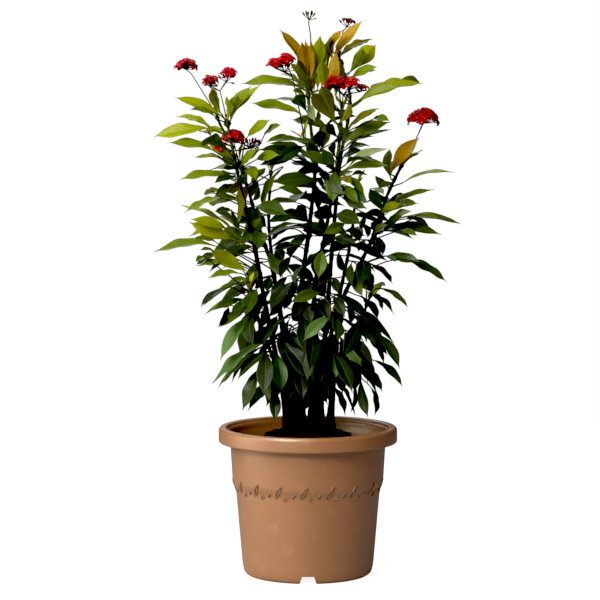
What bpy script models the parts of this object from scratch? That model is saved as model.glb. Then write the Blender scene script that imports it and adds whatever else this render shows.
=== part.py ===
# Potted jatropha: a many-stemmed shrub with red cymes, standing in a round moulded pot.
# Metres, +Z up, origin on the ground under the middle of the pot. Run it in Blender 4.5.

import math
import random

import bmesh
import bpy
from mathutils import Vector
from mathutils.bvhtree import BVHTree

MM = 0.001
GAP = 0.3 * MM  # between pieces that touch

# Pot, in metres
POT_HEIGHT = 0.290
RIM_RADIUS = 0.175
RIM_LIP = 0.016  # width of the flat lip, from its inner edge to the outer one
SKIRT_DROP = 0.0295  # how far the rim's skirt hangs down
WALL = 0.0035
NECK_RADIUS = 0.1535  # outside of the wall, just below the rim
STEP_RADIUS = 0.1478  # above the small step under the ornament band
STEP_TOP = 0.1830
STEP_FOOT = 0.1700
STEP_DEPTH = 0.0062
BASE_RADIUS = 0.1285
BASE_CORNER = 0.0180
FLOOR_HEIGHT = 0.0165
FOOT_NOTCHES = 4
NOTCH_TOP_WIDTH = 0.023
NOTCH_FOOT_WIDTH = 0.033
NOTCH_HEIGHT = 0.0155
DRAIN_RADIUS = 0.006
DRAIN_CIRCLE = 0.080
DRAIN_SIDES = 8
SEGMENTS = 36
SOIL_SEGMENTS = 18  # each second corner of the pot, so the soil stays inside its wall

# Soil, in metres
SOIL_EDGE_HEIGHT = 0.240
MOUND_RADIUS = 0.092
MOUND_HEIGHT = 0.284
HOLE_FLOOR = 0.215
HOLE_TOP = 0.320  # where the drill starts, above the mound
HOLE_SIDES = 10
HOLE_EXTRA = 0.6 * MM  # added to a stem's radius

# The plan of the shrub is drawn in millimetres on the upright plane through the pot's axis:
# x to the right, z up from the ground. A point with a depth slides along the line of sight from here.
VIEWPOINT = Vector((-0.016, -5.0, 0.961))

# Each stem's route is a list of (x, depth, z). Branches start on their stem.
STEMS = {
    "stem_left": {
        "route": [
            (-39, -12, 289), (-51, -18, 372), (-82, -28, 523), (-105, -35, 647), (-132, -40, 764),
            (-158, -42, 890),
        ],
        "radius": (8.0, 2.4),
        "branches": {
            "left_low": [(-53, -20, 385), (-76, -48, 445), (-102, -62, 515), (-113, -66, 557)],
            "left_twig": [(-148, -39, 845), (-166, -44, 872), (-177, -46, 896)],
        },
    },
    "stem_left_inner": {
        "route": [
            (-29, 14, 289), (-39, 16, 392), (-66, 18, 582), (-95, 10, 680), (-123, 0, 777), (-134, -4, 810),
        ],
        "radius": (7.0, 2.4),
        "branches": {},
    },
    "stem_centre": {
        "route": [
            (-12, 0, 289), (-14, 2, 421), (-12, 4, 564), (2, 2, 676), (14, 0, 802), (6, -2, 870),
            (-2, -4, 966),
        ],
        "radius": (8.5, 2.4),
        "branches": {
            "centre_twig": [(11, -1, 822), (0, -10, 838), (-6, -13, 850)],
        },
    },
    "stem_centre_right": {
        "route": [
            (6, -26, 289), (10, -40, 441), (14, -55, 568), (35, -62, 676), (56, -60, 802), (66, -58, 910),
        ],
        "radius": (7.5, 2.4),
        "branches": {
            "front_low": [(10, -40, 425), (34, -74, 466), (48, -86, 512)],
        },
    },
    "stem_right_tall": {
        "route": [
            (24, 18, 289), (27, 24, 382), (40, 30, 550), (52, 32, 700), (64, 28, 820), (82, 20, 925),
            (62, 14, 1006),
        ],
        "radius": (7.5, 2.4),
        "branches": {},
    },
    "stem_right": {
        "route": [
            (43, -6, 289), (47, -5, 342), (63, 0, 519), (98, 6, 602), (129, 10, 666), (152, 12, 738),
            (183, 15, 804),
        ],
        "radius": (8.0, 2.4),
        "branches": {
            "right_low": [(53, -3, 405), (82, -30, 443), (102, -40, 490), (117, -42, 537)],
        },
    },
    "stem_back_left": {
        "route": [(-14, 34, 289), (-30, 50, 400), (-58, 72, 540), (-76, 86, 680), (-72, 90, 790)],
        "radius": (7.0, 2.4),
        "branches": {},
    },
    "stem_back_right": {
        "route": [(12, 40, 289), (30, 58, 400), (60, 80, 540), (84, 90, 660), (94, 94, 760)],
        "radius": (7.0, 2.4),
        "branches": {},
    },
}
BRANCH_RADIUS = (3.4, 2.2)
TAPER = 0.55  # under 1, so that stems thin out early

# Leaves that give the shrub its outline: blade foot x, z, tip x, z, and the width that shows.
LEAVES = {
    "stem_left": [
        (-167, 897, -260, 934, 20), (-167, 896, -229, 909, 8), (-169, 903, -188, 952, 20),
        (-155, 894, -136, 938, 23), (-151, 886, -89, 961, 16), (-185, 872, -256, 897, 12),
        (-185, 872, -301, 857, 23), (-159, 868, -204, 865, 14), (-177, 826, -272, 846, 16),
        (-148, 777, -249, 774, 12), (-167, 812, -220, 816, 6), (-167, 754, -202, 746, 14),
        (-148, 736, -243, 709, 10), (-140, 664, -249, 725, 8), (-146, 658, -232, 691, 31),
        (-185, 670, -234, 662, 10), (-175, 649, -226, 656, 10), (-177, 643, -301, 633, 18),
        (-117, 594, -191, 637, 31), (-133, 607, -219, 606, 12), (-183, 635, -211, 637, 6),
    ],
    "left_low": [
        (-123, 588, -195, 582, 10), (-113, 580, -164, 566, 14), (-113, 576, -207, 525, 10),
        (-113, 539, -203, 510, 12), (-113, 523, -174, 484, 18), (-109, 559, -158, 537, 14),
        (-98, 515, -172, 419, 23), (-78, 457, -188, 374, 18), (-90, 437, -176, 366, 18),
        (-65, 441, -139, 382, 18), (-90, 411, -129, 321, 25), (-82, 372, -106, 342, 16),
        (-78, 401, -73, 338, 18), (-61, 437, -51, 356, 33), (-67, 366, -65, 299, 23),
        (-39, 470, 23, 405, 20),
    ],
    "stem_left_inner": [
        (-138, 806, -196, 847, 20), (-136, 800, -169, 822, 23), (-132, 797, -97, 835, 14),
        (-138, 791, -169, 795, 6), (-158, 781, -191, 789, 6), (-119, 855, -72, 891, 16),
        (-89, 851, -52, 881, 8), (-121, 730, -125, 762, 16), (-49, 797, -90, 715, 16),
        (-78, 633, -49, 582, 27), (-113, 800, -101, 773, 23), (-101, 812, -54, 822, 20),
    ],
    "stem_centre": [
        (19, 948, 25, 1054, 35), (0, 967, -12, 1042, 27), (-4, 977, -56, 1066, 16),
        (-2, 948, -132, 959, 16), (-6, 896, -113, 923, 16), (-6, 917, -70, 930, 8), (-6, 936, -31, 946, 10),
        (-16, 963, -54, 979, 10), (-16, 847, -82, 847, 12), (14, 806, -78, 845, 16),
        (19, 802, -10, 859, 16), (4, 773, -53, 773, 12), (0, 734, -60, 760, 16), (-19, 728, -90, 723, 14),
        (-16, 699, -80, 690, 18), (-16, 688, -88, 656, 10), (27, 832, 33, 880, 18),
    ],
    "stem_centre_right": [
        (89, 921, 223, 960, 18), (113, 936, 157, 963, 10), (68, 832, 163, 872, 8), (68, 841, 161, 886, 23),
        (72, 863, 140, 913, 10), (78, 797, 155, 835, 12), (68, 789, 158, 800, 18), (82, 781, 117, 783, 10),
        (64, 783, 111, 744, 14), (72, 764, 99, 728, 20), (72, 688, 29, 668, 23), (54, 793, 49, 728, 31),
        (27, 637, 20, 580, 27), (62, 637, 76, 592, 14),
    ],
    "front_low": [
        (27, 553, -35, 533, 23), (49, 508, -10, 458, 23), (47, 508, 57, 458, 20), (63, 455, 33, 425, 14),
        (49, 431, 41, 368, 35),
    ],
    "stem_right_tall": [
        (85, 985, 132, 1035, 33), (56, 1010, 126, 1046, 12), (50, 1010, 106, 1083, 20),
        (81, 967, 136, 993, 16), (48, 1010, 43, 1052, 12),
    ],
    "stem_right": [
        (183, 767, 288, 788, 8), (161, 785, 218, 857, 27), (161, 777, 159, 835, 18),
        (183, 797, 225, 832, 8), (150, 711, 248, 756, 12), (169, 727, 195, 744, 10),
        (144, 705, 185, 725, 10), (148, 709, 119, 756, 23), (169, 697, 299, 687, 10),
        (136, 676, 261, 666, 20), (136, 672, 207, 658, 8), (131, 660, 144, 623, 14),
        (179, 617, 273, 574, 18), (150, 625, 222, 613, 18), (146, 623, 172, 613, 6),
        (105, 604, 127, 562, 14), (88, 588, 107, 545, 20),
    ],
    "right_low": [
        (137, 562, 197, 523, 12), (117, 555, 147, 517, 12), (129, 566, 152, 566, 6),
        (72, 527, 170, 453, 20), (72, 480, 106, 407, 33), (125, 480, 180, 403, 18),
        (127, 421, 186, 368, 16), (102, 411, 147, 356, 16), (104, 386, 118, 307, 18),
        (119, 372, 131, 311, 12), (47, 372, 73, 311, 14), (86, 382, 84, 317, 10), (72, 411, 61, 364, 14),
        (86, 490, 117, 455, 10), (98, 480, 133, 449, 8), (96, 447, 121, 413, 20),
    ],
}
LEAF_LENGTH = 105  # of a full-grown blade
LEAF_SLIMNESS = 0.31  # width over length
WIDE_LOOK = 16  # a leaf that shows more width than this leans towards the viewer
BLADE_THICKNESS = 1.6  # at the midrib
PETIOLE_RADIUS = 1.3
PETIOLE_RISE = 0.5  # how much lower than its blade a petiole starts, over the distance between
ROOT_MARGIN = 0.008  # petioles start at least this far from a stem's ends, in metres
LEAN_SHARE = 0.8  # of the length that the view doesn't show
LEAST_LEAN = 8  # depth between a leaf's tip and its stem
MOST_LEAN = 75
FOOT_LEAN = 0.35  # of the tip's depth, for the blade's foot
ARCH = 0.10  # how far a blade bows, over its length
ROWS = (0.24, 0.56, 0.83)  # where a blade has its sections, over its length
CLEARANCE = 0.8  # between leaves of different stems
FREE_PETIOLE = 0.6  # of a petiole may cross leaves of its own stem, from the root
SHIFTS = (0, -12, 12, -24, 24, -36, 36, -48, 48, -62, 62, -78, 78)  # depths that are tried for a leaf's tip

# Leaves that fill the crown: first and last height of their roots, and how many, for each stem and branch.
FILL = {
    "stem_left": (500, 840, 7),
    "left_low": (430, 545, 5),
    "stem_left_inner": (400, 770, 13),
    "stem_centre": (420, 900, 16),
    "stem_centre_right": (440, 860, 15),
    "front_low": (440, 505, 4),
    "stem_right_tall": (420, 940, 14),
    "stem_right": (440, 770, 10),
    "right_low": (430, 530, 5),
    "stem_back_left": (360, 780, 18),
    "stem_back_right": (360, 750, 18),
}
FILL_LENGTH = (92, 122)
FILL_SLIMNESS = 0.38
FILL_PETIOLE = 0.32  # a fill leaf's petiole, over its blade
FILL_PETIOLE_RISE = 18  # degrees that the petiole rises more than the blade
FILL_ROWS = (0.30, 0.72)
LEVEL_LEAF_HEIGHT = 760  # fill leaves are level here, rise above it and hang below it
TOP_LEAF_HEIGHT = 1040
TOP_LEAF_RISE = 46  # degrees
FILL_ROLL = 50  # most that a fill leaf turns about its length, in degrees
FILL_SHORTER = (1.0, 0.8)  # lengths that are tried for a fill leaf
FILL_TURNS = (0, 25, -25, 50, -50, 80, -80, 115, -115, 150, -150)  # turns from its heading that are tried
FILL_SEED = 7
GOLDEN_ANGLE = math.radians(137.5)
# Outline of the crown: height, leftmost x and rightmost x
CROWN = [
    (310, -120, 110), (360, -160, 150), (450, -175, 165), (560, -190, 175), (650, -215, 200),
    (760, -225, 185), (850, -225, 150), (930, -190, 140), (1000, -70, 120), (1060, -30, 100),
]
CROWN_DEPTH = 225  # furthest reach to the front and back, where the crown is widest
CROWN_HALF_WIDTH = 207

# Each bloom: the shoot or twig that it ends, its stalk's route, and its heads, each with its middle,
# half width and half height, and how many florets and buds it has.
BLOOMS = {
    "bloom_left_high": {
        "on": "left_twig",
        "stalk": [(-198, -42, 934), (-227, -38, 980)],
        "heads": [(-236, -36, 996, 15, 10, 5, 3)],
    },
    "bloom_left_pair": {
        "on": "stem_left",
        "stalk": [(-165, -42, 922), (-171, -42, 946)],
        "heads": [(-190, -46, 966, 8, 8, 3, 2), (-155, -38, 981, 9, 6, 3, 1)],
    },
    "bloom_left": {
        "on": "stem_left_inner",
        "stalk": [(-140, -8, 830)],
        "heads": [(-148, -14, 856, 18, 8, 4, 0), (-173, -12, 842, 3, 2, 1, 0), (-110, -10, 844, 16, 7, 0, 6)],
    },
    "bloom_top_left": {
        "on": "centre_twig",
        "stalk": [(-10, -15, 870), (-19, -18, 919), (-31, -20, 975)],
        "heads": [(-64, -24, 1001, 8, 6, 2, 0), (-41, -20, 1004, 9, 8, 2, 3)],
    },
    "bloom_centre": {
        "on": "stem_centre_right",
        "stalk": [(68, -58, 938)],
        "heads": [(52, -64, 961, 12, 13, 4, 0), (80, -60, 963, 10, 9, 3, 1), (103, -55, 954, 5, 3, 1, 1)],
    },
    "bloom_right": {
        "on": "stem_right",
        "stalk": [(200, 14, 833), (214, 12, 862)],
        "heads": [(224, 10, 892, 27, 12, 9, 2)],
    },
    "buds_top": {
        "on": "stem_centre",
        "stalk": [(5, -4, 1040), (1, -4, 1078)],
        "heads": [(2, -4, 1092, 10, 4, 0, 7)],
    },
    "buds_top_right": {
        "on": "stem_right_tall",
        "stalk": [(64, 14, 1040), (68, 14, 1062)],
        "heads": [(75, 14, 1078, 11, 5, 1, 5)],
    },
}
STALK_RADIUS = 1.3
PEDICEL_RADIUS = 0.8
PETAL_LENGTH = 13.5
PETAL_THICKNESS = 1.6  # at the throat
# One petal's outline: turn from its middle in degrees, reach and lift over the petal's length
PETAL_OUTLINE = [(-36, 0.24, 0.0), (-15, 0.93, 0.10), (15, 0.93, 0.10)]
HUB_DROP = 9  # a head's pedicels start this far below its middle
HEAD_FALL = 1.2  # how far the outer florets sit below the top one, over the head's half height
HEAD_UNEVEN = 0.3  # radians that florets stray from even turns
FACING_PULL = Vector((0, -0.35, 0.25))  # florets turn to the light, over their own direction
STALK_LEAD = 7  # a stalk goes straight on from its shoot for this far
BUD_LENGTH = 6.5
BUD_RADIUS = 1.9
BLOOM_SEED = 3

# Colour, roughness of each finish
FINISHES = {
    "pot plastic": ((0.46, 0.22, 0.09), 0.45),
    "soil": ((0.02, 0.013, 0.009), 0.95),
    "foliage": ((0.08, 0.16, 0.02), 0.40),
    "petals": ((0.62, 0.01, 0.02), 0.45),
}


def clear_scene():
    for thing in list(bpy.data.objects):
        bpy.data.objects.remove(thing, do_unlink=True)


def make_collection(name):
    collection = bpy.data.collections.new(name)
    bpy.context.scene.collection.children.link(collection)
    return collection


def make_material(name):
    colour, roughness = FINISHES[name]
    material = bpy.data.materials.new(name)
    material.use_nodes = True
    shader = material.node_tree.nodes["Principled BSDF"]
    shader.inputs["Base Color"].default_value = (*colour, 1.0)
    shader.inputs["Roughness"].default_value = roughness
    material.diffuse_color = (*colour, 1.0)
    return material


def mesh_object(name, points, faces, collection):
    mesh = bpy.data.meshes.new(name)
    mesh.from_pydata(points, [], faces)
    shape = bmesh.new()
    shape.from_mesh(mesh)
    bmesh.ops.recalc_face_normals(shape, faces=shape.faces)
    shape.to_mesh(mesh)
    shape.free()
    thing = bpy.data.objects.new(name, mesh)
    collection.objects.link(thing)
    return thing


def as_mesh(thing, collection):
    """The evaluated object as a plain mesh object, its caps welded on. The old object is removed."""
    graph = bpy.context.evaluated_depsgraph_get()
    mesh = bpy.data.meshes.new_from_object(thing.evaluated_get(graph))
    shape = bmesh.new()
    shape.from_mesh(mesh)
    bmesh.ops.remove_doubles(shape, verts=shape.verts, dist=0.01 * MM)
    shape.to_mesh(mesh)
    shape.free()
    solid = bpy.data.objects.new(thing.name + "_mesh", mesh)
    solid.matrix_world = thing.matrix_world
    collection.objects.link(solid)
    bpy.data.objects.remove(thing, do_unlink=True)
    return solid


def add_boolean(thing, operation, other=None, others=None):
    cut = thing.modifiers.new(operation.lower(), "BOOLEAN")
    cut.operation = operation
    if others is None:
        cut.object = other
    else:
        cut.operand_type = "COLLECTION"
        cut.collection = others
        # The exact solver leaves loose scraps where many thin blades cross
        cut.solver = "MANIFOLD"


def turned(name, profile, segments, collection):
    """A closed round solid. The profile runs from the axis out and over, down its outer side and back."""
    mesh = bpy.data.meshes.new(name)
    edges = [(i, i + 1) for i in range(len(profile) - 1)]
    mesh.from_pydata([(radius, 0.0, height) for radius, height in profile], edges, [])
    thing = bpy.data.objects.new(name, mesh)
    collection.objects.link(thing)
    screw = thing.modifiers.new("turn", "SCREW")
    screw.axis = "Z"
    screw.steps = segments
    screw.render_steps = segments
    screw.use_merge_vertices = True
    screw.merge_threshold = 0.01 * MM
    return thing


def helper(thing):
    thing.hide_render = True
    thing.display_type = "WIRE"


# The pot

def inner_radius(height):
    """Inside of the pot's wall at a height."""
    if height > STEP_TOP:
        share = (height - STEP_TOP) / (POT_HEIGHT - SKIRT_DROP - STEP_TOP)
        return STEP_RADIUS - WALL + (NECK_RADIUS - STEP_RADIUS) * min(share, 1.0)
    if height > STEP_FOOT:
        share = (height - STEP_FOOT) / (STEP_TOP - STEP_FOOT)
        return STEP_RADIUS - WALL - STEP_DEPTH * (1.0 - share)
    share = (height - BASE_CORNER) / (STEP_FOOT - BASE_CORNER)
    return BASE_RADIUS - WALL + (STEP_RADIUS - STEP_DEPTH - BASE_RADIUS) * max(share, 0.0)


def pot_profile():
    floor_top = FLOOR_HEIGHT + WALL
    lip_inner = RIM_RADIUS - RIM_LIP
    skirt_foot = POT_HEIGHT - SKIRT_DROP
    foot_width = 0.005
    hollow = 0.006  # the top of the rim is this thick
    inside = [
        (0.0, floor_top),
        (BASE_RADIUS - BASE_CORNER, floor_top),
        (inner_radius(BASE_CORNER + WALL), BASE_CORNER + WALL),
        (inner_radius(STEP_FOOT), STEP_FOOT),
        (inner_radius(STEP_TOP), STEP_TOP),
        (inner_radius(skirt_foot), skirt_foot),
        (lip_inner - 0.0045, POT_HEIGHT - 0.013),
    ]
    rim = [
        (lip_inner, POT_HEIGHT - 0.0022),
        (lip_inner + 0.0025, POT_HEIGHT),
        (RIM_RADIUS - 0.0040, POT_HEIGHT),
        (RIM_RADIUS - 0.0010, POT_HEIGHT - 0.0016),
        (RIM_RADIUS, POT_HEIGHT - 0.0050),
        (RIM_RADIUS, skirt_foot + 0.0030),
        (RIM_RADIUS - 0.0022, skirt_foot),
        (RIM_RADIUS - 0.0045, skirt_foot + 0.0015),
        (RIM_RADIUS - 0.0045, POT_HEIGHT - hollow),
        (NECK_RADIUS + 0.0025, POT_HEIGHT - hollow),
        (NECK_RADIUS, POT_HEIGHT - hollow - 0.004),
    ]
    outside = [
        (STEP_RADIUS, STEP_TOP),
        (STEP_RADIUS - STEP_DEPTH, STEP_FOOT),
        (BASE_RADIUS, BASE_CORNER),
        (BASE_RADIUS - 0.0035, 0.0045),
        (BASE_RADIUS - 0.0100, 0.0),
        (BASE_RADIUS - 0.0100 - foot_width, 0.0),
        (BASE_RADIUS - 0.0110 - foot_width, FLOOR_HEIGHT),
        (0.0, FLOOR_HEIGHT),
    ]
    return inside + rim + outside


def foot_notch(angle, cutters):
    """A wedge that opens the foot ring at an angle round the axis, wider at the foot."""
    inner = BASE_RADIUS - 0.030
    outer = BASE_RADIUS + 0.010
    low = -0.005
    slope = (NOTCH_FOOT_WIDTH - NOTCH_TOP_WIDTH) / NOTCH_HEIGHT
    bottom = NOTCH_FOOT_WIDTH / 2 - low * slope / 2
    top = NOTCH_TOP_WIDTH / 2
    outline = [(-bottom, low), (bottom, low), (top, NOTCH_HEIGHT), (-top, NOTCH_HEIGHT)]
    points = [(reach, side, height) for reach in (inner, outer) for side, height in outline]
    faces = [(0, 1, 2, 3), (7, 6, 5, 4), (0, 4, 5, 1), (1, 5, 6, 2), (2, 6, 7, 3), (3, 7, 4, 0)]
    wedge = mesh_object("foot_notch", points, faces, cutters)
    wedge.rotation_euler.z = angle
    helper(wedge)
    return wedge


def drill(name, x, y, low, high, radius, sides, cutters):
    middle = (x, y, (low + high) / 2)
    bpy.ops.mesh.primitive_cylinder_add(vertices=sides, radius=radius, depth=high - low, location=middle)
    bore = bpy.context.object
    bore.name = name
    for home in list(bore.users_collection):
        home.objects.unlink(bore)
    cutters.objects.link(bore)
    helper(bore)
    return bore


def build_pot(parts, cutters):
    pot = turned("pot", pot_profile(), SEGMENTS, parts)
    quarter = 2 * math.pi / FOOT_NOTCHES
    for index in range(FOOT_NOTCHES):
        angle = -math.pi / 2 + index * quarter
        add_boolean(pot, "DIFFERENCE", foot_notch(angle, cutters))
        x = DRAIN_CIRCLE * math.cos(angle + quarter / 2)
        y = DRAIN_CIRCLE * math.sin(angle + quarter / 2)
        drain = drill("drain_hole", x, y, 0.0, 2 * FLOOR_HEIGHT, DRAIN_RADIUS, DRAIN_SIDES, cutters)
        add_boolean(pot, "DIFFERENCE", drain)
    pot.data.materials.append(make_material("pot plastic"))
    return pot


def build_soil(parts, cutters):
    floor_top = FLOOR_HEIGHT + WALL + GAP
    # The pot's inner corner is a straight slope between two of its profile's points
    profile = [
        (0.0, MOUND_HEIGHT),
        (0.6 * MOUND_RADIUS, MOUND_HEIGHT - 0.002),
        (0.9 * MOUND_RADIUS, MOUND_HEIGHT - 0.009),
        (1.02 * MOUND_RADIUS, MOUND_HEIGHT - 0.024),
        (1.22 * MOUND_RADIUS, SOIL_EDGE_HEIGHT + 0.006),
        (inner_radius(SOIL_EDGE_HEIGHT) - GAP, SOIL_EDGE_HEIGHT),
        (inner_radius(STEP_TOP) - GAP, STEP_TOP),
        (inner_radius(STEP_FOOT) - GAP, STEP_FOOT),
        (inner_radius(BASE_CORNER + WALL) - GAP, BASE_CORNER + WALL + GAP),
        (BASE_RADIUS - BASE_CORNER - GAP, floor_top),
        (0.0, floor_top),
    ]
    soil = turned("soil", profile, SOIL_SEGMENTS, parts)
    for name, stem in STEMS.items():
        x, depth, height = stem["route"][0]
        foot = in_sight(x, depth, height)
        radius = stem["radius"][0] * MM + HOLE_EXTRA
        hole = drill("hole_" + name, foot.x, foot.y, HOLE_FLOOR, HOLE_TOP, radius, HOLE_SIDES, cutters)
        add_boolean(soil, "DIFFERENCE", hole)
    soil.data.materials.append(make_material("soil"))
    return soil


# The plan

def in_sight(x, depth, z):
    """The point at this depth that covers (x, z) of the plan, in metres, from millimetres."""
    flat = Vector((x, 0.0, z)) * MM
    return VIEWPOINT + (flat - VIEWPOINT) * (1.0 - depth * MM / VIEWPOINT.y)


def smooth(points, steps):
    """Points along a Catmull-Rom curve through the given ones."""
    ends = [points[0] * 2 - points[1]] + points + [points[-1] * 2 - points[-2]]
    curve = []
    for i in range(1, len(ends) - 2):
        a, b, c, d = ends[i - 1 : i + 3]
        for step in range(steps):
            t = step / steps
            square = (2 * a - 5 * b + 4 * c - d) * t**2
            cube = (3 * b - a - 3 * c + d) * t**3
            curve.append(0.5 * (2 * b + (c - a) * t + square + cube))
    return curve + [points[-1]]


def nearest_at_height(line, height):
    """The point of a rising line at a height, or its nearest end."""
    if height <= line[0].z:
        return line[0].copy()
    for a, b in zip(line, line[1:]):
        if a.z <= height <= b.z:
            return a.lerp(b, (height - a.z) / max(b.z - a.z, 1e-9))
    return line[-1].copy()


def tapering(first, last, count):
    return [(first + (last - first) * (i / (count - 1)) ** TAPER) * MM for i in range(count)]


def tube(name, line, radii, sides_level, collection):
    """A curve with a round section through the points, made a closed mesh."""
    curve = bpy.data.curves.new(name, "CURVE")
    curve.dimensions = "3D"
    curve.bevel_depth = 1.0
    curve.bevel_resolution = sides_level
    curve.use_fill_caps = True
    spline = curve.splines.new("POLY")
    spline.points.add(len(line) - 1)
    for knot, point, radius in zip(spline.points, line, radii):
        knot.co = (*point, 1.0)
        knot.radius = radius
    thing = bpy.data.objects.new(name, curve)
    collection.objects.link(thing)
    return as_mesh(thing, collection)


def loft(rings, start=None, tip=None):
    """Points and triangles of a solid through three-sided rings. Each end is a point, or else flat."""
    points = [corner for ring in rings for corner in ring]
    faces = []
    for row in range(len(rings) - 1):
        for side in range(3):
            here = 3 * row + side
            after = 3 * row + (side + 1) % 3
            faces += [(here, after, after + 3), (here, after + 3, here + 3)]
    last = len(points) - 3
    for point, ring in ((start, (2, 1, 0)), (tip, (last, last + 1, last + 2))):
        if point is None:
            faces.append(ring)
            continue
        points.append(point)
        faces += [(ring[side], ring[(side + 1) % 3], len(points) - 1) for side in range(3)]
    return points, faces


def half_width(t):
    """Half the width of a blade at a share of its length, as a share of the widest."""
    widest = 0.56
    if t < widest:
        return math.sin(math.pi / 2 * t / widest) ** 0.9
    return max(math.cos(math.pi / 2 * (t - widest) / (1.0 - widest)), 0.0) ** 0.85


def keeled_ring(middle, across, face, reach, depth):
    """Left edge, right edge and keel of a section."""
    return [middle - across * reach, middle + across * reach, middle - face * depth]


def leaf_shape(leaf, extra=0.0, skip=0.0):
    """Points and triangles of one leaf: a thin petiole that widens into a keeled, bowed blade.

    extra makes it thicker all round, and skip leaves off that share of the petiole.
    """
    foot, tip, across, face = leaf["foot"], leaf["tip"], leaf["across"], leaf["face"]
    start = leaf["root"].lerp(foot, skip)
    forward = (tip - foot).normalized()
    rise = (foot - start).normalized()
    stalk = PETIOLE_RADIUS * MM + extra
    rings = []
    for middle, direction, wider in ((start, rise, 1.0), (foot, (rise + forward).normalized(), 1.4)):
        bend = forward.rotation_difference(direction)
        side, top = bend @ across, bend @ face
        rings.append(keeled_ring(middle + top * (0.5 * stalk), side, top, wider * stalk, 1.5 * stalk))
    for t in leaf["rows"]:
        reach = half_width(t) * leaf["width"] / 2
        middle = foot.lerp(tip, t) + face * (4 * t * (1 - t) * leaf["bow"] + extra)
        rings.append(keeled_ring(middle, across, face, reach + extra, BLADE_THICKNESS * MM + 2 * extra))
    return loft(rings, tip=tip + forward * extra)


def facing_viewer(foot, tip, share):
    """The across and face of a blade that shows this share of its width, its upper side to the viewer."""
    forward = (tip - foot).normalized()
    view = (foot - VIEWPOINT).normalized()
    away = (view - forward * view.dot(forward)).normalized()
    upright = forward.cross(away)
    best = None
    for turn in (1.0, -1.0):
        across = away * math.sqrt(1.0 - share**2) + upright * share * turn
        face = across.cross(forward)
        if face.z < -0.05:
            across, face = -across, -face
        if best is None or face.dot(view) < best[1].dot(view):
            best = (across, face)
    return best


def plan_leaf(line, numbers, order, shift):
    """A leaf that covers its place in the plan. The shift moves its tip in depth."""
    foot_x, foot_z, tip_x, tip_z, shown = numbers
    shown_length = math.hypot(tip_x - foot_x, tip_z - foot_z)
    level = nearest_at_height(line, foot_z * MM)
    root_height = foot_z * MM - PETIOLE_RISE * abs(foot_x * MM - level.x)
    lowest, highest = line[0].z + ROOT_MARGIN, line[-1].z - ROOT_MARGIN
    root = nearest_at_height(line, min(max(root_height, lowest), highest))
    hidden_length = math.sqrt(max(LEAF_LENGTH**2 - shown_length**2, 0.0))
    lean = min(max(LEAN_SHARE * hidden_length, LEAST_LEAN), MOST_LEAN)
    towards = shown >= WIDE_LOOK or order % 2 == 0
    turn = (-lean if towards else lean) + shift
    depth = root.y / MM
    foot = in_sight(foot_x, depth + FOOT_LEAN * turn, foot_z)
    tip = in_sight(tip_x, depth + turn, tip_z)
    length = (tip - foot).length
    width = max(shown * MM, LEAF_SLIMNESS * length)
    across, face = facing_viewer(foot, tip, min(shown * MM / width, 1.0))
    return {
        "root": root, "foot": foot, "tip": tip,
        "across": across, "face": face,
        "width": width, "bow": ARCH * length, "rows": ROWS,
    }


def crown_room(point):
    """How far a point is inside the crown's outline, in metres. It is negative outside."""
    scale = 1.0 / (1.0 - point.y / VIEWPOINT.y)
    seen = VIEWPOINT + (point - VIEWPOINT) * scale
    height = seen.z / MM
    if not CROWN[0][0] < height < CROWN[-1][0]:
        return -1.0
    for (low, low_left, low_right), (high, high_left, high_right) in zip(CROWN, CROWN[1:]):
        if low <= height <= high:
            share = (height - low) / (high - low)
            left = low_left + (high_left - low_left) * share
            right = low_right + (high_right - low_right) * share
    half = (right - left) / 2
    deepest = CROWN_DEPTH * half / CROWN_HALF_WIDTH
    return min(seen.x / MM - left, right - seen.x / MM, deepest - abs(point.y) / MM) * MM


def fill_leaf(line, height, heading, length, roll):
    """A leaf that grows from a stem at a height in a direction round it."""
    root = nearest_at_height(line, height * MM)
    climb = (height - LEVEL_LEAF_HEIGHT) / (TOP_LEAF_HEIGHT - LEVEL_LEAF_HEIGHT)
    rise = math.radians(TOP_LEAF_RISE * max(min(climb, 1.0), -1.0))
    flat = Vector((math.cos(heading), math.sin(heading), 0.0))
    forward = flat * math.cos(rise) + Vector((0, 0, math.sin(rise)))
    stalk_rise = rise + math.radians(FILL_PETIOLE_RISE)
    stalk = flat * math.cos(stalk_rise) + Vector((0, 0, math.sin(stalk_rise)))
    foot = root + stalk * (FILL_PETIOLE * length)
    level = forward.cross(Vector((0, 0, 1))).normalized()
    face = level.cross(forward)
    across = level * math.cos(roll) + face * math.sin(roll)
    return {
        "root": root, "foot": foot, "tip": foot + forward * length,
        "across": across, "face": across.cross(forward),
        "width": FILL_SLIMNESS * length, "bow": ARCH * length, "rows": FILL_ROWS,
    }


def obstacle(node, points, faces):
    """A solid's surface and box, in millimetres, so that small triangles aren't lost in the crossing test."""
    points = [point / MM for point in points]
    low = Vector([min(point[axis] for point in points) for axis in range(3)])
    high = Vector([max(point[axis] for point in points) for axis in range(3)])
    return {"node": node, "tree": BVHTree.FromPolygons(points, faces), "low": low, "high": high}


def crosses(one, other):
    for axis in range(3):
        if one["low"][axis] > other["high"][axis] or other["low"][axis] > one["high"][axis]:
            return False
    return bool(one["tree"].overlap(other["tree"]))


def count_crossings(leaf, node, taken):
    """How many solids of other nodes a leaf comes too near, and how many of its own node it crosses."""
    sizes = [obstacle(node, *leaf_shape(leaf, share * CLEARANCE * MM)) for share in (0.0, 0.5, 1.0)]
    free = obstacle(node, *leaf_shape(leaf, CLEARANCE * MM, FREE_PETIOLE))
    others = sum(any(crosses(size, solid) for size in sizes) for solid in taken if solid["node"] != node)
    own = sum(crosses(free, solid) for solid in taken if solid["node"] == node)
    return others, own


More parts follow.
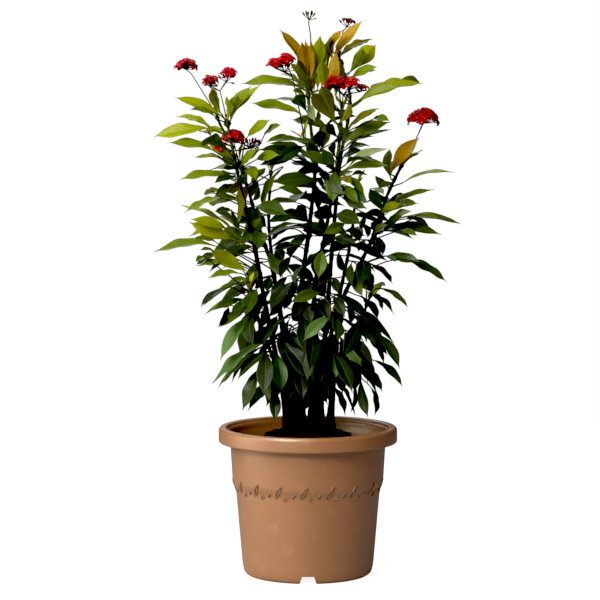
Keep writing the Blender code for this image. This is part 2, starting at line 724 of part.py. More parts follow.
def first_clear(choices, node, taken):
    """The first choice that crosses nothing, or else the first that crosses only its own node, or None."""
    spare = None
    for leaf in choices:
        others, own = count_crossings(leaf, node, taken)
        if others:
            continue
        if not own:
            return leaf
        spare = spare or leaf
    return spare


def fill_choices(line, height, heading, length, roll):
    """The same fill leaf in other directions and shorter, all inside the crown."""
    for shorter in FILL_SHORTER:
        for turn in FILL_TURNS:
            leaf = fill_leaf(line, height, heading + math.radians(turn), length * shorter * MM, roll)
            if crown_room(leaf["tip"]) > 0.0:
                yield leaf


def plan_leaves(lines, owners, taken):
    """All leaves, as (node, leaf). Each is bent clear of what is there already, or left out."""
    leaves = []

    def place(node, choices):
        leaf = first_clear(choices, node, taken)
        if leaf:
            leaves.append((node, leaf))
            taken.append(obstacle(node, *leaf_shape(leaf)))

    for part, rows in LEAVES.items():
        for order, numbers in enumerate(rows):
            place(owners[part], (plan_leaf(lines[part], numbers, order, shift) for shift in SHIFTS))
    draw = random.Random(FILL_SEED)
    for part, (low, high, count) in FILL.items():
        phase = draw.uniform(0, 2 * math.pi)
        for index in range(count):
            height = low + (high - low) * (index + 0.5) / count
            length = draw.uniform(*FILL_LENGTH)
            roll = math.radians(draw.uniform(-FILL_ROLL, FILL_ROLL))
            place(owners[part], fill_choices(lines[part], height, phase + index * GOLDEN_ANGLE, length, roll))
    return leaves


# The stems

def stem_line(route):
    points = [in_sight(*place) for place in route]
    bottom = Vector((points[0].x, points[0].y, HOLE_FLOOR + GAP))
    return [bottom] + smooth(points, 2)


def branch_line(route, stem):
    points = [in_sight(*place) for place in route]
    points[0] = nearest_at_height(stem, points[0].z)
    return smooth(points, 2)


def build_tubes(collection, taken):
    """The line of each stem and branch, whose node each is, and the tubes of each node."""
    lines, owners, tubes = {}, {}, {}
    for node, stem in STEMS.items():
        lines[node] = stem_line(stem["route"])
        radii = tapering(*stem["radius"], len(lines[node]))
        owners[node] = node
        tubes[node] = [tube(node + "_tube", lines[node], radii, 1, collection)]
        for name, route in stem["branches"].items():
            lines[name] = branch_line(route, lines[node])
            owners[name] = node
            radii = tapering(*BRANCH_RADIUS, len(lines[name]))
            tubes[node].append(tube(name + "_tube", lines[name], radii, 0, collection))
        for solid in tubes[node]:
            points = [corner.co.copy() for corner in solid.data.vertices]
            taken.append(obstacle(node, points, [tuple(face.vertices) for face in solid.data.polygons]))
    return lines, owners, tubes


def fuse(name, solids, parts):
    """Joins solids into one object by a Boolean union and removes them."""
    body = solids[0]
    rest = make_collection(name + "_pieces")
    for solid in solids[1:]:
        for home in list(solid.users_collection):
            home.objects.unlink(solid)
        rest.objects.link(solid)
    add_boolean(body, "UNION", others=rest)
    bpy.context.view_layer.update()
    joined = as_mesh(body, parts)
    joined.name = name
    joined.data.name = name
    for solid in list(rest.objects):
        bpy.data.objects.remove(solid, do_unlink=True)
    bpy.data.collections.remove(rest)
    return joined


# The blooms

def round_ring(middle, direction, radius, spin=0.0):
    """Three points round a middle, square to a direction."""
    side = direction.orthogonal().normalized()
    other = direction.cross(side)
    angles = [spin + side_index * 2 * math.pi / 3 for side_index in range(3)]
    return [middle + (side * math.cos(angle) + other * math.sin(angle)) * radius for angle in angles]


def floret_shape(hub, middle, facing, spin):
    """A star of five rounded petals on a pedicel that comes to a point in the hub."""
    side = facing.orthogonal().normalized()
    other = facing.cross(side)
    points = []
    for petal in range(5):
        for turn, reach, lift in PETAL_OUTLINE:
            angle = spin + math.radians(72 * petal + turn)
            outward = side * math.cos(angle) + other * math.sin(angle)
            points.append(middle + (outward * reach + facing * lift) * PETAL_LENGTH * MM)
    rim = len(points)
    throat = middle - facing * PETAL_THICKNESS * MM
    neck = [throat + (side * math.cos(spin + turn) + other * math.sin(spin + turn)) * PEDICEL_RADIUS * MM
            for turn in (0.0, 2 * math.pi / 3, 4 * math.pi / 3)]
    points += neck + [middle + facing * 0.4 * MM, hub]
    top, root = rim + 3, rim + 4
    faces = [(corner, (corner + 1) % rim, top) for corner in range(rim)]
    # The outline is an exact multiple of the neck's three points, so each of those carries a third of it
    third = rim // 3
    for corner in range(rim):
        carrier = rim + corner // third
        faces.append(((corner + 1) % rim, corner, carrier))
        if (corner + 1) // third != corner // third:
            faces.append(((corner + 1) % rim, carrier, rim + (corner // third + 1) % 3))
    faces += [(rim + (side_index + 1) % 3, rim + side_index, root) for side_index in range(3)]
    return points, faces


def bud_shape(hub, middle, facing):
    """A bud on a pedicel that comes to a point in the hub."""
    neck = middle - facing * (0.5 * BUD_LENGTH * MM)
    rings = [round_ring(neck, facing, PEDICEL_RADIUS * MM), round_ring(middle, facing, BUD_RADIUS * MM)]
    return loft(rings, start=hub, tip=middle + facing * (0.5 * BUD_LENGTH * MM))


def head_shapes(stalk_end, head, draw):
    """A head: a branchlet to its hub, and florets and buds on pedicels over a low dome."""
    x, depth, z, half_wide, half_high, florets, buds = head
    middle = in_sight(x, depth, z)
    hub = middle - Vector((0, 0, HUB_DROP * MM))
    branchlet = (hub - stalk_end).normalized()
    end = hub + branchlet * (2 * STALK_RADIUS * MM)
    shapes = [loft([round_ring(place, branchlet, STALK_RADIUS * MM) for place in (stalk_end, end)])]
    count = florets + buds
    every = count / buds if buds else count + 1
    for index in range(count):
        share = (index + 0.5) / count
        rise = 1.0 - HEAD_FALL * share if count > 1 else 1.0
        round_out = math.sqrt(max(1.0 - rise**2, 0.0))
        angle = index * GOLDEN_ANGLE + draw.uniform(-HEAD_UNEVEN, HEAD_UNEVEN)
        flat = Vector((math.cos(angle), math.sin(angle), 0.0)) * (round_out * half_wide)
        place = middle + (flat + Vector((0, 0, rise * half_high))) * MM
        facing = ((place - hub).normalized() + FACING_PULL).normalized()
        spin = draw.uniform(0, 1.2)
        if (index + 1) % every < 1.0:
            shapes.append(bud_shape(hub, place + facing * (0.3 * BUD_LENGTH * MM), facing))
        else:
            shapes.append(floret_shape(hub, place, facing, spin))
    return shapes


def bloom_line(bloom, shoot):
    """The stalk goes on from the end of its shoot, a gap away, and then along its own route."""
    onward = (shoot[-1] - shoot[-2]).normalized()
    start = shoot[-1] + onward * GAP
    return [start, start + onward * STALK_LEAD * MM] + [in_sight(*place) for place in bloom["stalk"]]


def bloom_shapes(name, lines, draw):
    bloom = BLOOMS[name]
    line = bloom_line(bloom, lines[bloom["on"]])
    shapes = []
    for head in bloom["heads"]:
        shapes += head_shapes(line[-1], head, draw)
    return line, shapes


def build_blooms(lines, parts, spare, taken):
    material = make_material("petals")
    draw = random.Random(BLOOM_SEED)
    for name in BLOOMS:
        line, shapes = bloom_shapes(name, lines, draw)
        solids = [tube(name + "_stalk", line, [STALK_RADIUS * MM] * len(line), 0, spare)]
        solids += [mesh_object(name + "_piece", *shape, spare) for shape in shapes]
        for solid in solids:
            points = [corner.co.copy() for corner in solid.data.vertices]
            taken.append(obstacle(name, points, [tuple(face.vertices) for face in solid.data.polygons]))
        fuse(name, solids, parts).data.materials.append(material)


def build_shrub(parts, spare):
    taken = []
    lines, owners, tubes = build_tubes(spare, taken)
    build_blooms(lines, parts, spare, taken)
    for node, leaf in plan_leaves(lines, owners, taken):
        tubes[node].append(mesh_object(node + "_leaf", *leaf_shape(leaf), spare))
    material = make_material("foliage")
    for node, solids in tubes.items():
        fuse(node, solids, parts).data.materials.append(material)


def main():
    clear_scene()
    parts = make_collection("potted jatropha")
    cutters = make_collection("cutters")
    spare = make_collection("spare")
    build_pot(parts, cutters)
    build_soil(parts, cutters)
    build_shrub(parts, spare)


main()
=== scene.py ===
# Potted jatropha: the look of a many-stemmed shrub with heads of red flowers in a round moulded pot.
# Metres, +Z up. The shrub is placed from the same plan as the imported model; the outline and filling leaves go
# where that model holds their tips, and further leaves are added inside the crown and round the shoot ends.

import math
import random

import bpy
import numpy as np
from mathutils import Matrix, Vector, noise
from mathutils.kdtree import KDTree


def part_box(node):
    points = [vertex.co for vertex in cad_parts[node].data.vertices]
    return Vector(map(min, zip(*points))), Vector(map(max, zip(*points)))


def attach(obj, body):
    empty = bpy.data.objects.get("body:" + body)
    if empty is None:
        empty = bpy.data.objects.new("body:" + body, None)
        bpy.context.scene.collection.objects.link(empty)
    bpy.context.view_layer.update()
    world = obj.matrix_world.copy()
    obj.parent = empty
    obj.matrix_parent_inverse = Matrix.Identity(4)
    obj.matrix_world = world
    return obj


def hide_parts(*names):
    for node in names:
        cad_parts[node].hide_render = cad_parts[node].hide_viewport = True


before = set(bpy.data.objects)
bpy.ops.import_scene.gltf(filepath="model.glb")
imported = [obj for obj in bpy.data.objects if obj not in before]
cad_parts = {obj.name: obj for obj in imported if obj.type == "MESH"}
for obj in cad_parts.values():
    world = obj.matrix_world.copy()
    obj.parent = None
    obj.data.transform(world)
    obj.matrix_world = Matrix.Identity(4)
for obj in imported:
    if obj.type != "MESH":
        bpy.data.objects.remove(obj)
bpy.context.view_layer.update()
mm = 0.001
potLow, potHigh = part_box("pot")
print("frame loaded")


# Colours are given as they show on a screen, 0 to 255
def screen(red, green, blue):
    return tuple(((c / 255 + 0.055) / 1.055) ** 2.4 if c > 10 else c / 255 / 12.92 for c in (red, green, blue))


def blend(first, second, share):
    return tuple(a + (b - a) * share for a, b in zip(first, second))


# Each stem's route is a list of (x, depth, z) in mm: x and z as they show from the viewpoint, and the depth
# behind the pot's axis. Branches start on their stem.
stems = {
    "stem_left": {
        "route": [
            (-39, -12, 289), (-51, -18, 372), (-82, -28, 523), (-105, -35, 647), (-132, -40, 764),
            (-158, -42, 890),
        ],
        "radius": (8.0, 2.4),
        "branches": {
            "left_low": [(-53, -20, 385), (-76, -48, 445), (-102, -62, 515), (-113, -66, 557)],
            "left_twig": [(-148, -39, 845), (-166, -44, 872), (-177, -46, 896)],
        },
    },
    "stem_left_inner": {
        "route": [
            (-29, 14, 289), (-39, 16, 392), (-66, 18, 582), (-95, 10, 680), (-123, 0, 777), (-134, -4, 810),
        ],
        "radius": (7.0, 2.4),
        "branches": {},
    },
    "stem_centre": {
        "route": [
            (-12, 0, 289), (-14, 2, 421), (-12, 4, 564), (2, 2, 676), (14, 0, 802), (6, -2, 870),
            (-2, -4, 966),
        ],
        "radius": (8.5, 2.4),
        "branches": {
            "centre_twig": [(11, -1, 822), (0, -10, 838), (-6, -13, 850)],
        },
    },
    "stem_centre_right": {
        "route": [
            (6, -26, 289), (10, -40, 441), (14, -55, 568), (35, -62, 676), (56, -60, 802), (66, -58, 910),
        ],
        "radius": (7.5, 2.4),
        "branches": {
            "front_low": [(10, -40, 425), (34, -74, 466), (48, -86, 512)],
        },
    },
    "stem_right_tall": {
        "route": [
            (24, 18, 289), (27, 24, 382), (40, 30, 550), (52, 32, 700), (64, 28, 820), (82, 20, 925),
            (62, 14, 1006),
        ],
        "radius": (7.5, 2.4),
        "branches": {},
    },
    "stem_right": {
        "route": [
            (43, -6, 289), (47, -5, 342), (63, 0, 519), (98, 6, 602), (129, 10, 666), (152, 12, 738),
            (183, 15, 804),
        ],
        "radius": (8.0, 2.4),
        "branches": {
            "right_low": [(53, -3, 405), (82, -30, 443), (102, -40, 490), (117, -42, 537)],
        },
    },
    "stem_back_left": {
        "route": [(-14, 34, 289), (-30, 50, 400), (-58, 72, 540), (-76, 86, 680), (-72, 90, 790)],
        "radius": (7.0, 2.4),
        "branches": {},
    },
    "stem_back_right": {
        "route": [(12, 40, 289), (30, 58, 400), (60, 80, 540), (84, 90, 660), (94, 94, 760)],
        "radius": (7.0, 2.4),
        "branches": {},
    },
}
viewpoint = Vector((-0.016, -5.0, 0.961))
stemLook = {
    "holeFloor": 215.3,
    "branchRadius": (3.4, 2.2),
    "taper": 0.55,  # under 1, so that stems thin out early
    "planSteps": 2,
    "pointSpacing": 3.0,
    "sides": 14,
    "flare": 1.1,  # how much wider a stem stands in the soil
    "flareFrom": 283,
    "flareReach": 26,
    "scarSpacing": 17,
    "scarHeight": 0.35,
    "nodeHeight": 0.7,
    "old": screen(22, 15, 12),
    "young": screen(96, 104, 30),
    "youngFrom": (690, 880),  # heights between which the bark turns green
}

# Leaves that give the shrub its outline: blade foot x, z, tip x, z, the width that shows and, where it
# isn't the usual one, the tone.
handLeaves = {
    "stem_left": [
        (-167, 897, -260, 934, 20), (-167, 896, -229, 909, 8), (-169, 903, -188, 952, 20, "blushed"),
        (-155, 894, -136, 938, 23, "young"), (-151, 886, -89, 961, 16, "young"), (-185, 872, -256, 897, 12),
        (-185, 872, -301, 857, 23), (-159, 868, -204, 865, 14), (-177, 826, -272, 846, 16),
        (-148, 777, -249, 774, 12), (-167, 812, -220, 816, 6), (-167, 754, -202, 746, 14),
        (-148, 736, -243, 709, 10), (-140, 664, -249, 725, 8, "young"), (-146, 658, -232, 691, 31, "young"),
        (-185, 670, -234, 662, 10), (-175, 649, -226, 656, 10), (-177, 643, -301, 633, 18),
        (-117, 594, -191, 637, 31, "young"), (-133, 607, -219, 606, 12), (-183, 635, -211, 637, 6),
    ],
    "left_low": [
        (-123, 588, -195, 582, 10), (-113, 580, -164, 566, 14), (-113, 576, -207, 525, 10),
        (-113, 539, -203, 510, 12), (-113, 523, -174, 484, 18), (-109, 559, -158, 537, 14),
        (-98, 515, -172, 419, 23, "front"), (-78, 457, -188, 374, 18, "front"), (-90, 437, -176, 366, 18, "front"),
        (-65, 441, -139, 382, 18), (-90, 411, -129, 321, 25), (-82, 372, -106, 342, 16),
        (-78, 401, -73, 338, 18), (-61, 437, -51, 356, 33, "front"), (-67, 366, -65, 299, 23),
        (-39, 470, 23, 405, 20, "front"),
    ],
    "stem_left_inner": [
        (-138, 806, -196, 847, 20, "blushed"), (-136, 800, -169, 822, 23), (-132, 797, -97, 835, 14),
        (-138, 791, -169, 795, 6), (-158, 781, -191, 789, 6), (-119, 855, -72, 891, 16),
        (-89, 851, -52, 881, 8), (-121, 730, -125, 762, 16, "bronze"), (-49, 797, -90, 715, 16),
        (-78, 633, -49, 582, 27), (-113, 800, -101, 773, 23), (-101, 812, -54, 822, 20),
    ],
    "stem_centre": [
        (19, 948, 25, 1054, 35, "young"), (0, 967, -12, 1042, 27, "bronze"),
        (-4, 977, -56, 1066, 16, "bronze"), (-2, 948, -132, 959, 16), (-6, 896, -113, 923, 16),
        (-6, 917, -70, 930, 8), (-6, 936, -31, 946, 10), (-16, 963, -54, 979, 10), (-16, 847, -82, 847, 12),
        (14, 806, -78, 845, 16), (19, 802, -10, 859, 16), (4, 773, -53, 773, 12), (0, 734, -60, 760, 16),
        (-19, 728, -90, 723, 14), (-16, 699, -80, 690, 18), (-16, 688, -88, 656, 10),
        (27, 832, 33, 880, 18, "olive"),
    ],
    "stem_centre_right": [
        (89, 921, 223, 960, 18), (113, 936, 157, 963, 10), (68, 832, 163, 872, 8), (68, 841, 161, 886, 23),
        (72, 863, 140, 913, 10), (78, 797, 155, 835, 12), (68, 789, 158, 800, 18), (82, 781, 117, 783, 10),
        (64, 783, 111, 744, 14), (72, 764, 99, 728, 20), (72, 688, 29, 668, 23), (54, 793, 49, 728, 31),
        (27, 637, 20, 580, 27), (62, 637, 76, 592, 14),
    ],
    "front_low": [
        (27, 553, -35, 533, 23), (49, 508, -10, 458, 23, "front"), (47, 508, 57, 458, 20), (63, 455, 33, 425, 14),
        (49, 431, 41, 368, 35, "front"),
    ],
    "stem_right_tall": [
        (85, 985, 132, 1035, 33, "young"), (56, 1010, 126, 1046, 12, "olive"),
        (50, 1010, 106, 1083, 20, "bronze"), (81, 967, 136, 993, 16), (48, 1010, 43, 1052, 12),
    ],
    "stem_right": [
        (183, 767, 288, 788, 8, "young"), (161, 785, 218, 857, 27, "bronze"),
        (161, 777, 159, 835, 18, "pale"), (183, 797, 225, 832, 8), (150, 711, 248, 756, 12),
        (169, 727, 195, 744, 10), (144, 705, 185, 725, 10), (148, 709, 119, 756, 23),
        (169, 697, 299, 687, 10), (136, 676, 261, 666, 20), (136, 672, 207, 658, 8),
        (131, 660, 144, 623, 14), (179, 617, 273, 574, 18), (150, 625, 222, 613, 18),
        (146, 623, 172, 613, 6), (105, 604, 127, 562, 14), (88, 588, 107, 545, 20),
    ],
    "right_low": [
        (137, 562, 197, 523, 12), (117, 555, 147, 517, 12), (129, 566, 152, 566, 6),
        (72, 527, 170, 453, 20), (72, 480, 106, 407, 33, "front"), (125, 480, 180, 403, 18),
        (127, 421, 186, 368, 16), (102, 411, 147, 356, 16), (104, 386, 118, 307, 18),
        (119, 372, 131, 311, 12), (47, 372, 73, 311, 14), (86, 382, 84, 317, 10), (72, 411, 61, 364, 14),
        (86, 490, 117, 455, 10), (98, 480, 133, 449, 8), (96, 447, 121, 413, 20),
    ],
}
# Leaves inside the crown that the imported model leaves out, with the same numbers
moreLeaves = {
    "stem_centre": [
        (6, 967, -6, 1046, 18, "bronze"), (10, 971, 23, 1054, 27, "young"), (25, 832, 19, 868, 18, "deep"),
        (8, 793, -35, 806, 14, "dark"), (-23, 816, -82, 800, 16, "dark"), (-2, 942, -47, 957, 8, "olive"),
        (12, 886, 21, 909, 12, "olive"), (-31, 678, -74, 654, 14, "dark"), (-16, 643, -70, 637, 14, "dark"),
        (-62, 639, -47, 613, 23, "dark"), (8, 664, -12, 676, 10, "dark"), (-35, 551, -47, 519, 20, "deep"),
        (-31, 511, -12, 496, 18, "dark"), (-16, 500, -39, 510, 14, "dark"),
        (-31, 480, -23, 437, 21, "shade"),
        (27, 832, 21, 870, 20, "deep"), (19, 839, 43, 884, 23, "dark"),
        (27, 952, 42, 1050, 27, "young"), (12, 944, 6, 1044, 31, "bronze"),
        (10, 944, -21, 1010, 23, "olive"), (-2, 952, -37, 1002, 14, "fresh"),
        (-2, 948, -48, 971, 10, "fresh"), (8, 936, -17, 983, 12, "fresh"), (2, 921, 14, 886, 16, "pale"),
        (16, 789, 0, 851, 23, "deep"), (-16, 816, -97, 832, 23, "deep"),
        (-31, 812, -95, 802, 16, "dark"), (-8, 839, -62, 806, 25, "deep"),
        (10, 769, 19, 711, 18, "dark"), (2, 691, -21, 725, 23, "dark"), (-4, 664, -39, 649, 18, "mid"),
        (-31, 625, -55, 580, 18, "dark"), (-39, 586, -74, 539, 18, "dark"),
        (-20, 582, -35, 535, 18, "dark"), (-16, 547, -31, 496, 23, "dark"),
        (-4, 539, 8, 490, 23, "dark"), (-47, 555, -78, 504, 20, "dark"),
        (-6, 460, -10, 366, 23, "shade"), (-16, 468, -22, 386, 21, "shade"),
        (-8, 421, -6, 338, 20, "shade"),
    ],
    "stem_centre_right": [
        (58, 855, 39, 882, 18, "dark"), (54, 818, 49, 847, 16, "dark"), (97, 921, 182, 956, 16, "fresh"),
        (175, 967, 217, 963, 14, "fresh"), (78, 870, 132, 907, 8, "olive"), (78, 835, 155, 872, 8, "dark"),
        (70, 800, 152, 833, 12, "pale"), (58, 777, 86, 791, 12, "olive"), (58, 777, 86, 765, 12, "olive"),
        (86, 758, 117, 728, 18, "deep"), (43, 773, 19, 785, 14, "dark"), (8, 777, 31, 762, 14, "dark"),
        (54, 789, 33, 800, 10, "deep"), (50, 1002, 48, 1044, 12, "bronze"), (124, 890, 159, 888, 12, "mid"),
        (62, 742, 86, 723, 14, "dark"), (43, 680, 23, 703, 14, "dark"), (51, 582, 59, 551, 18, "dark"),
        (62, 684, 78, 666, 12, "dark"),
        (35, 932, 56, 1025, 25, "bronze"), (50, 886, 4, 944, 31, "olive"),
        (54, 886, 25, 959, 31, "olive"), (58, 882, 85, 921, 16, "olive"),
        (43, 797, -12, 826, 20, "mid"), (51, 789, 27, 833, 20, "mid"), (27, 777, 72, 742, 23, "deep"),
        (47, 660, 97, 647, 20, "dark"), (66, 672, 113, 664, 14, "dark"), (68, 746, 115, 717, 23, "deep"),
        (27, 543, 43, 496, 23, "dark"), (47, 547, 72, 504, 20, "dark"), (51, 535, 59, 476, 18, "dark"),
        (35, 944, 27, 1006, 23, "young"),
    ],
    "stem_right_tall": [
        (43, 1019, 68, 1064, 12, "bronze"), (62, 1012, 112, 1042, 14, "olive"),
        (79, 979, 108, 1029, 23, "fresh"), (89, 971, 132, 986, 12, "fresh"),
        (62, 944, 70, 994, 16, "young"), (53, 777, 49, 816, 8, "mid"),
        (54, 932, 64, 1006, 23, "fresh"), (70, 539, 82, 490, 12, "dark"),
        (66, 812, 105, 832, 12, "deep"),
    ],
    "stem_left_inner": [
        (-126, 800, -89, 835, 12, "mid"), (-99, 765, -109, 732, 12, "dark"),
        (-117, 793, -119, 762, 10, "deep"), (-88, 707, -80, 680, 14, "deep"),
        (-98, 578, -105, 561, 12, "dark"), (-74, 584, -80, 553, 20, "dark"),
        (-99, 773, -111, 738, 16, "dark"), (-113, 762, -82, 797, 18, "pale"), (-127, 664, -109, 725, 20, "mid"),
        (-113, 672, -97, 725, 16, "deep"), (-121, 660, -90, 699, 23, "mid"),
        (-70, 559, -106, 515, 18, "dark"), (-105, 613, -109, 559, 20, "deep"),
        (-109, 684, -133, 645, 18, "mid"),
    ],
    "stem_left": [
        (-175, 892, -229, 911, 10, "fresh"), (-194, 876, -256, 896, 12, "mid"),
        (-151, 888, -109, 956, 18, "fresh"), (-157, 890, -159, 936, 16, "young"),
        (-152, 775, -249, 775, 14, "fresh"), (-163, 812, -220, 818, 6, "dark"),
        (-136, 791, -167, 795, 6, "dark"), (-156, 676, -230, 697, 21, "young"),
        (-146, 711, -183, 711, 10, "deep"), (-144, 684, -175, 703, 10, "pale"),
        (-117, 691, -136, 688, 14, "deep"), (-187, 857, -212, 868, 8, "dark"),
        (-121, 762, -128, 797, 10, "mid"), (-140, 656, -150, 717, 14, "mid"),
        (-179, 746, -204, 746, 10, "pale"),
        (-136, 762, -183, 742, 18, "deep"), (-132, 773, -160, 748, 16, "olive"),
        (-140, 686, -134, 762, 16, "olive"), (-144, 691, -179, 711, 12, "pale"),
        (-168, 627, -219, 607, 14, "deep"), (-136, 777, -183, 767, 12, "deep"),
    ],
    "left_low": [
        (-156, 564, -211, 525, 12, "dark"), (-156, 527, -176, 486, 16, "dark"),
        (-133, 537, -184, 519, 16, "deep"), (-117, 553, -148, 545, 14, "dark"),
        (-88, 523, -90, 484, 16, "dark"), (-98, 508, -98, 480, 10, "dark"),
        (-199, 621, -219, 613, 10, "mid"), (-133, 602, -168, 600, 10, "mid"),
        (-109, 535, -152, 511, 16, "deep"), (-90, 523, -121, 474, 18, "dark"),
    ],
    "stem_right": [
        (175, 674, 214, 664, 10, "mid"), (187, 697, 238, 682, 12, "olive"), (171, 723, 214, 727, 12, "mid"),
        (152, 707, 199, 723, 12, "young"), (113, 703, 105, 674, 12, "dark"),
        (107, 688, 117, 660, 14, "dark"), (113, 656, 98, 633, 12, "dark"), (161, 777, 171, 816, 14, "pale"),
        (121, 756, 148, 744, 10, "pale"), (93, 721, 113, 719, 10, "deep"), (199, 695, 257, 699, 10, "mid"),
        (140, 707, 183, 727, 18, "young"), (156, 691, 203, 713, 12, "pale"),
        (146, 672, 187, 707, 16, "deep"), (129, 668, 156, 686, 14, "pale"),
        (129, 664, 146, 625, 16, "deep"), (86, 613, 86, 566, 16, "deep"),
    ],
    # Near-black leaves that fill the hollow above the trunks: painted shade.
    "stem_back_left": [
        (-31, 382, -43, 326, 18, "shade"), (-24, 374, -27, 319, 18, "shade"),
        (-16, 401, -35, 350, 21, "shade"),
        (-23, 451, -31, 358, 20, "shade"), (-14, 441, -16, 346, 23, "shade"),
        (-27, 464, -39, 378, 18, "shade"), (-20, 417, -24, 332, 18, "shade"),
        (-31, 490, -43, 401, 18, "shade"), (-35, 504, -53, 421, 20, "shade"),
        (-16, 484, -12, 397, 21, "shade"),
    ],
    "stem_back_right": [
        (-10, 374, -6, 319, 18, "shade"), (6, 378, 10, 323, 20, "shade"), (20, 382, 27, 326, 20, "shade"),
        (31, 390, 43, 334, 21, "shade"), (8, 405, 20, 346, 23, "shade"),
        (-2, 445, 0, 350, 23, "shade"), (6, 457, 12, 366, 20, "shade"), (2, 417, 6, 334, 18, "shade"),
        (12, 470, 20, 386, 16, "shade"), (20, 490, 27, 405, 20, "shade"), (0, 480, 2, 390, 21, "shade"),
    ],
}
# Leaves that fill the crown: first and last height of their roots, and how many, for each stem and branch
fillLeaves = {
    "stem_left": (500, 840, 7),
    "left_low": (430, 545, 5),
    "stem_left_inner": (400, 770, 13),
    "stem_centre": (420, 900, 16),
    "stem_centre_right": (440, 860, 15),
    "front_low": (440, 505, 4),
    "stem_right_tall": (420, 940, 14),
    "stem_right": (440, 770, 10),
    "right_low": (430, 530, 5),
    "stem_back_left": (360, 780, 18),
    "stem_back_right": (360, 750, 18),
}
leafPlan = {
    "length": 105,
    "slimness": 0.31,
    "wideLook": 16,
    "petioleRise": 0.5,
    "rootMargin": 0.008,
    "leanShare": 0.8,
    "leastLean": 8,
    "mostLean": 75,
    "footLean": 0.35,
    "arch": 0.10,
    "shifts": (0, -12, 12, -24, 24, -36, 36, -48, 48, -62, 62, -78, 78),
    "fillLength": (92, 122),
    "fillSlimness": 0.31,
    "fillPetiole": 0.32,
    "fillPetioleRise": 18,
    "levelHeight": 760,
    "topHeight": 1040,
    "topRise": 46,
    "fillRoll": 50,
    "fillShorter": (1.0, 0.8),
    "fillTurns": (0, 25, -25, 50, -50, 80, -80, 115, -115, 150, -150),
    "seed": 7,
    "goldenAngle": math.radians(137.5),
    "tipReach": 0.0003,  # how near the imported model's point has to be
}
leafLook = {
    "rows": 24,
    "columns": (-1, -0.86, -0.6, -0.33, -0.1, 0, 0.1, 0.33, 0.6, 0.86, 1),
    "widest": 0.58,
    "taper": 1.35,  # how slowly the blade widens from its foot
    "dripTip": 0.12,  # share of the length that the narrow tip takes
    "footHalfWidth": 0.9,
    "tipHalfWidth": 0.15,
    "fold": 14,  # degrees that each half lifts
    "twist": 24,
    "waves": (2.0, 3.4),
    "waveHeight": (0.005, 0.02),  # over the length
    "sickle": 0.04,
    "droop": 0.10,
    "thickness": 0.45,
    "ribHeight": 0.8,
    "groove": 0.35,
    "petioleRadius": (1.5, 1.05),
    "petioleSides": 7,
    "petioleSteps": 10,
    "seed": 21,
}
# Leaf colours. The shade tone is painted shade, for leaves deep in the crown. The dark and deep tones are the dark
# green of older leaves, and they are also painted shade where they sit inside the crown.
leafTones = {
    "shade": screen(16, 24, 11),
    "dark": screen(36, 49, 21),
    "deep": screen(58, 77, 29),
    "mid": screen(94, 117, 30),
    "fresh": screen(134, 149, 32),
    "young": screen(164, 173, 22),
    "bronze": screen(184, 142, 32),
    "olive": screen(118, 114, 24),
    "pale": screen(146, 162, 104),
    # A paler green with painted light from the front, for low leaves at the front of the crown.
    "front": screen(96, 130, 68),
}
# Leaf tones from where a leaf sits, with painted light and shade in them: leaves lower down, towards the right and
# inside the crown get painted shade, and leaves high up and on the left get painted light. The yellow-green tone high
# up is partly the real colour of young leaves.
leafLight = {
    "lowest": 0.34,  # metres, where leaves are darkest
    "highest": 1.02,
    "outer": (0.26, 0.68),  # the tone's place at the lowest and what the height adds
    "inner": (0.0, 0.66),
    "paintedShadeTowardsRight": 0.10,
    "paintedShadeInside": 0.22,  # what a leaf on the axis loses, below the top
    "insideReach": (0.05, 0.15),
    "insideBelow": (0.88, 0.98),
    "uneven": 0.11,
    "stops": ((0.08, "dark"), (0.30, "deep"), (0.56, "mid"), (0.80, "fresh"), (1.0, "young")),
}

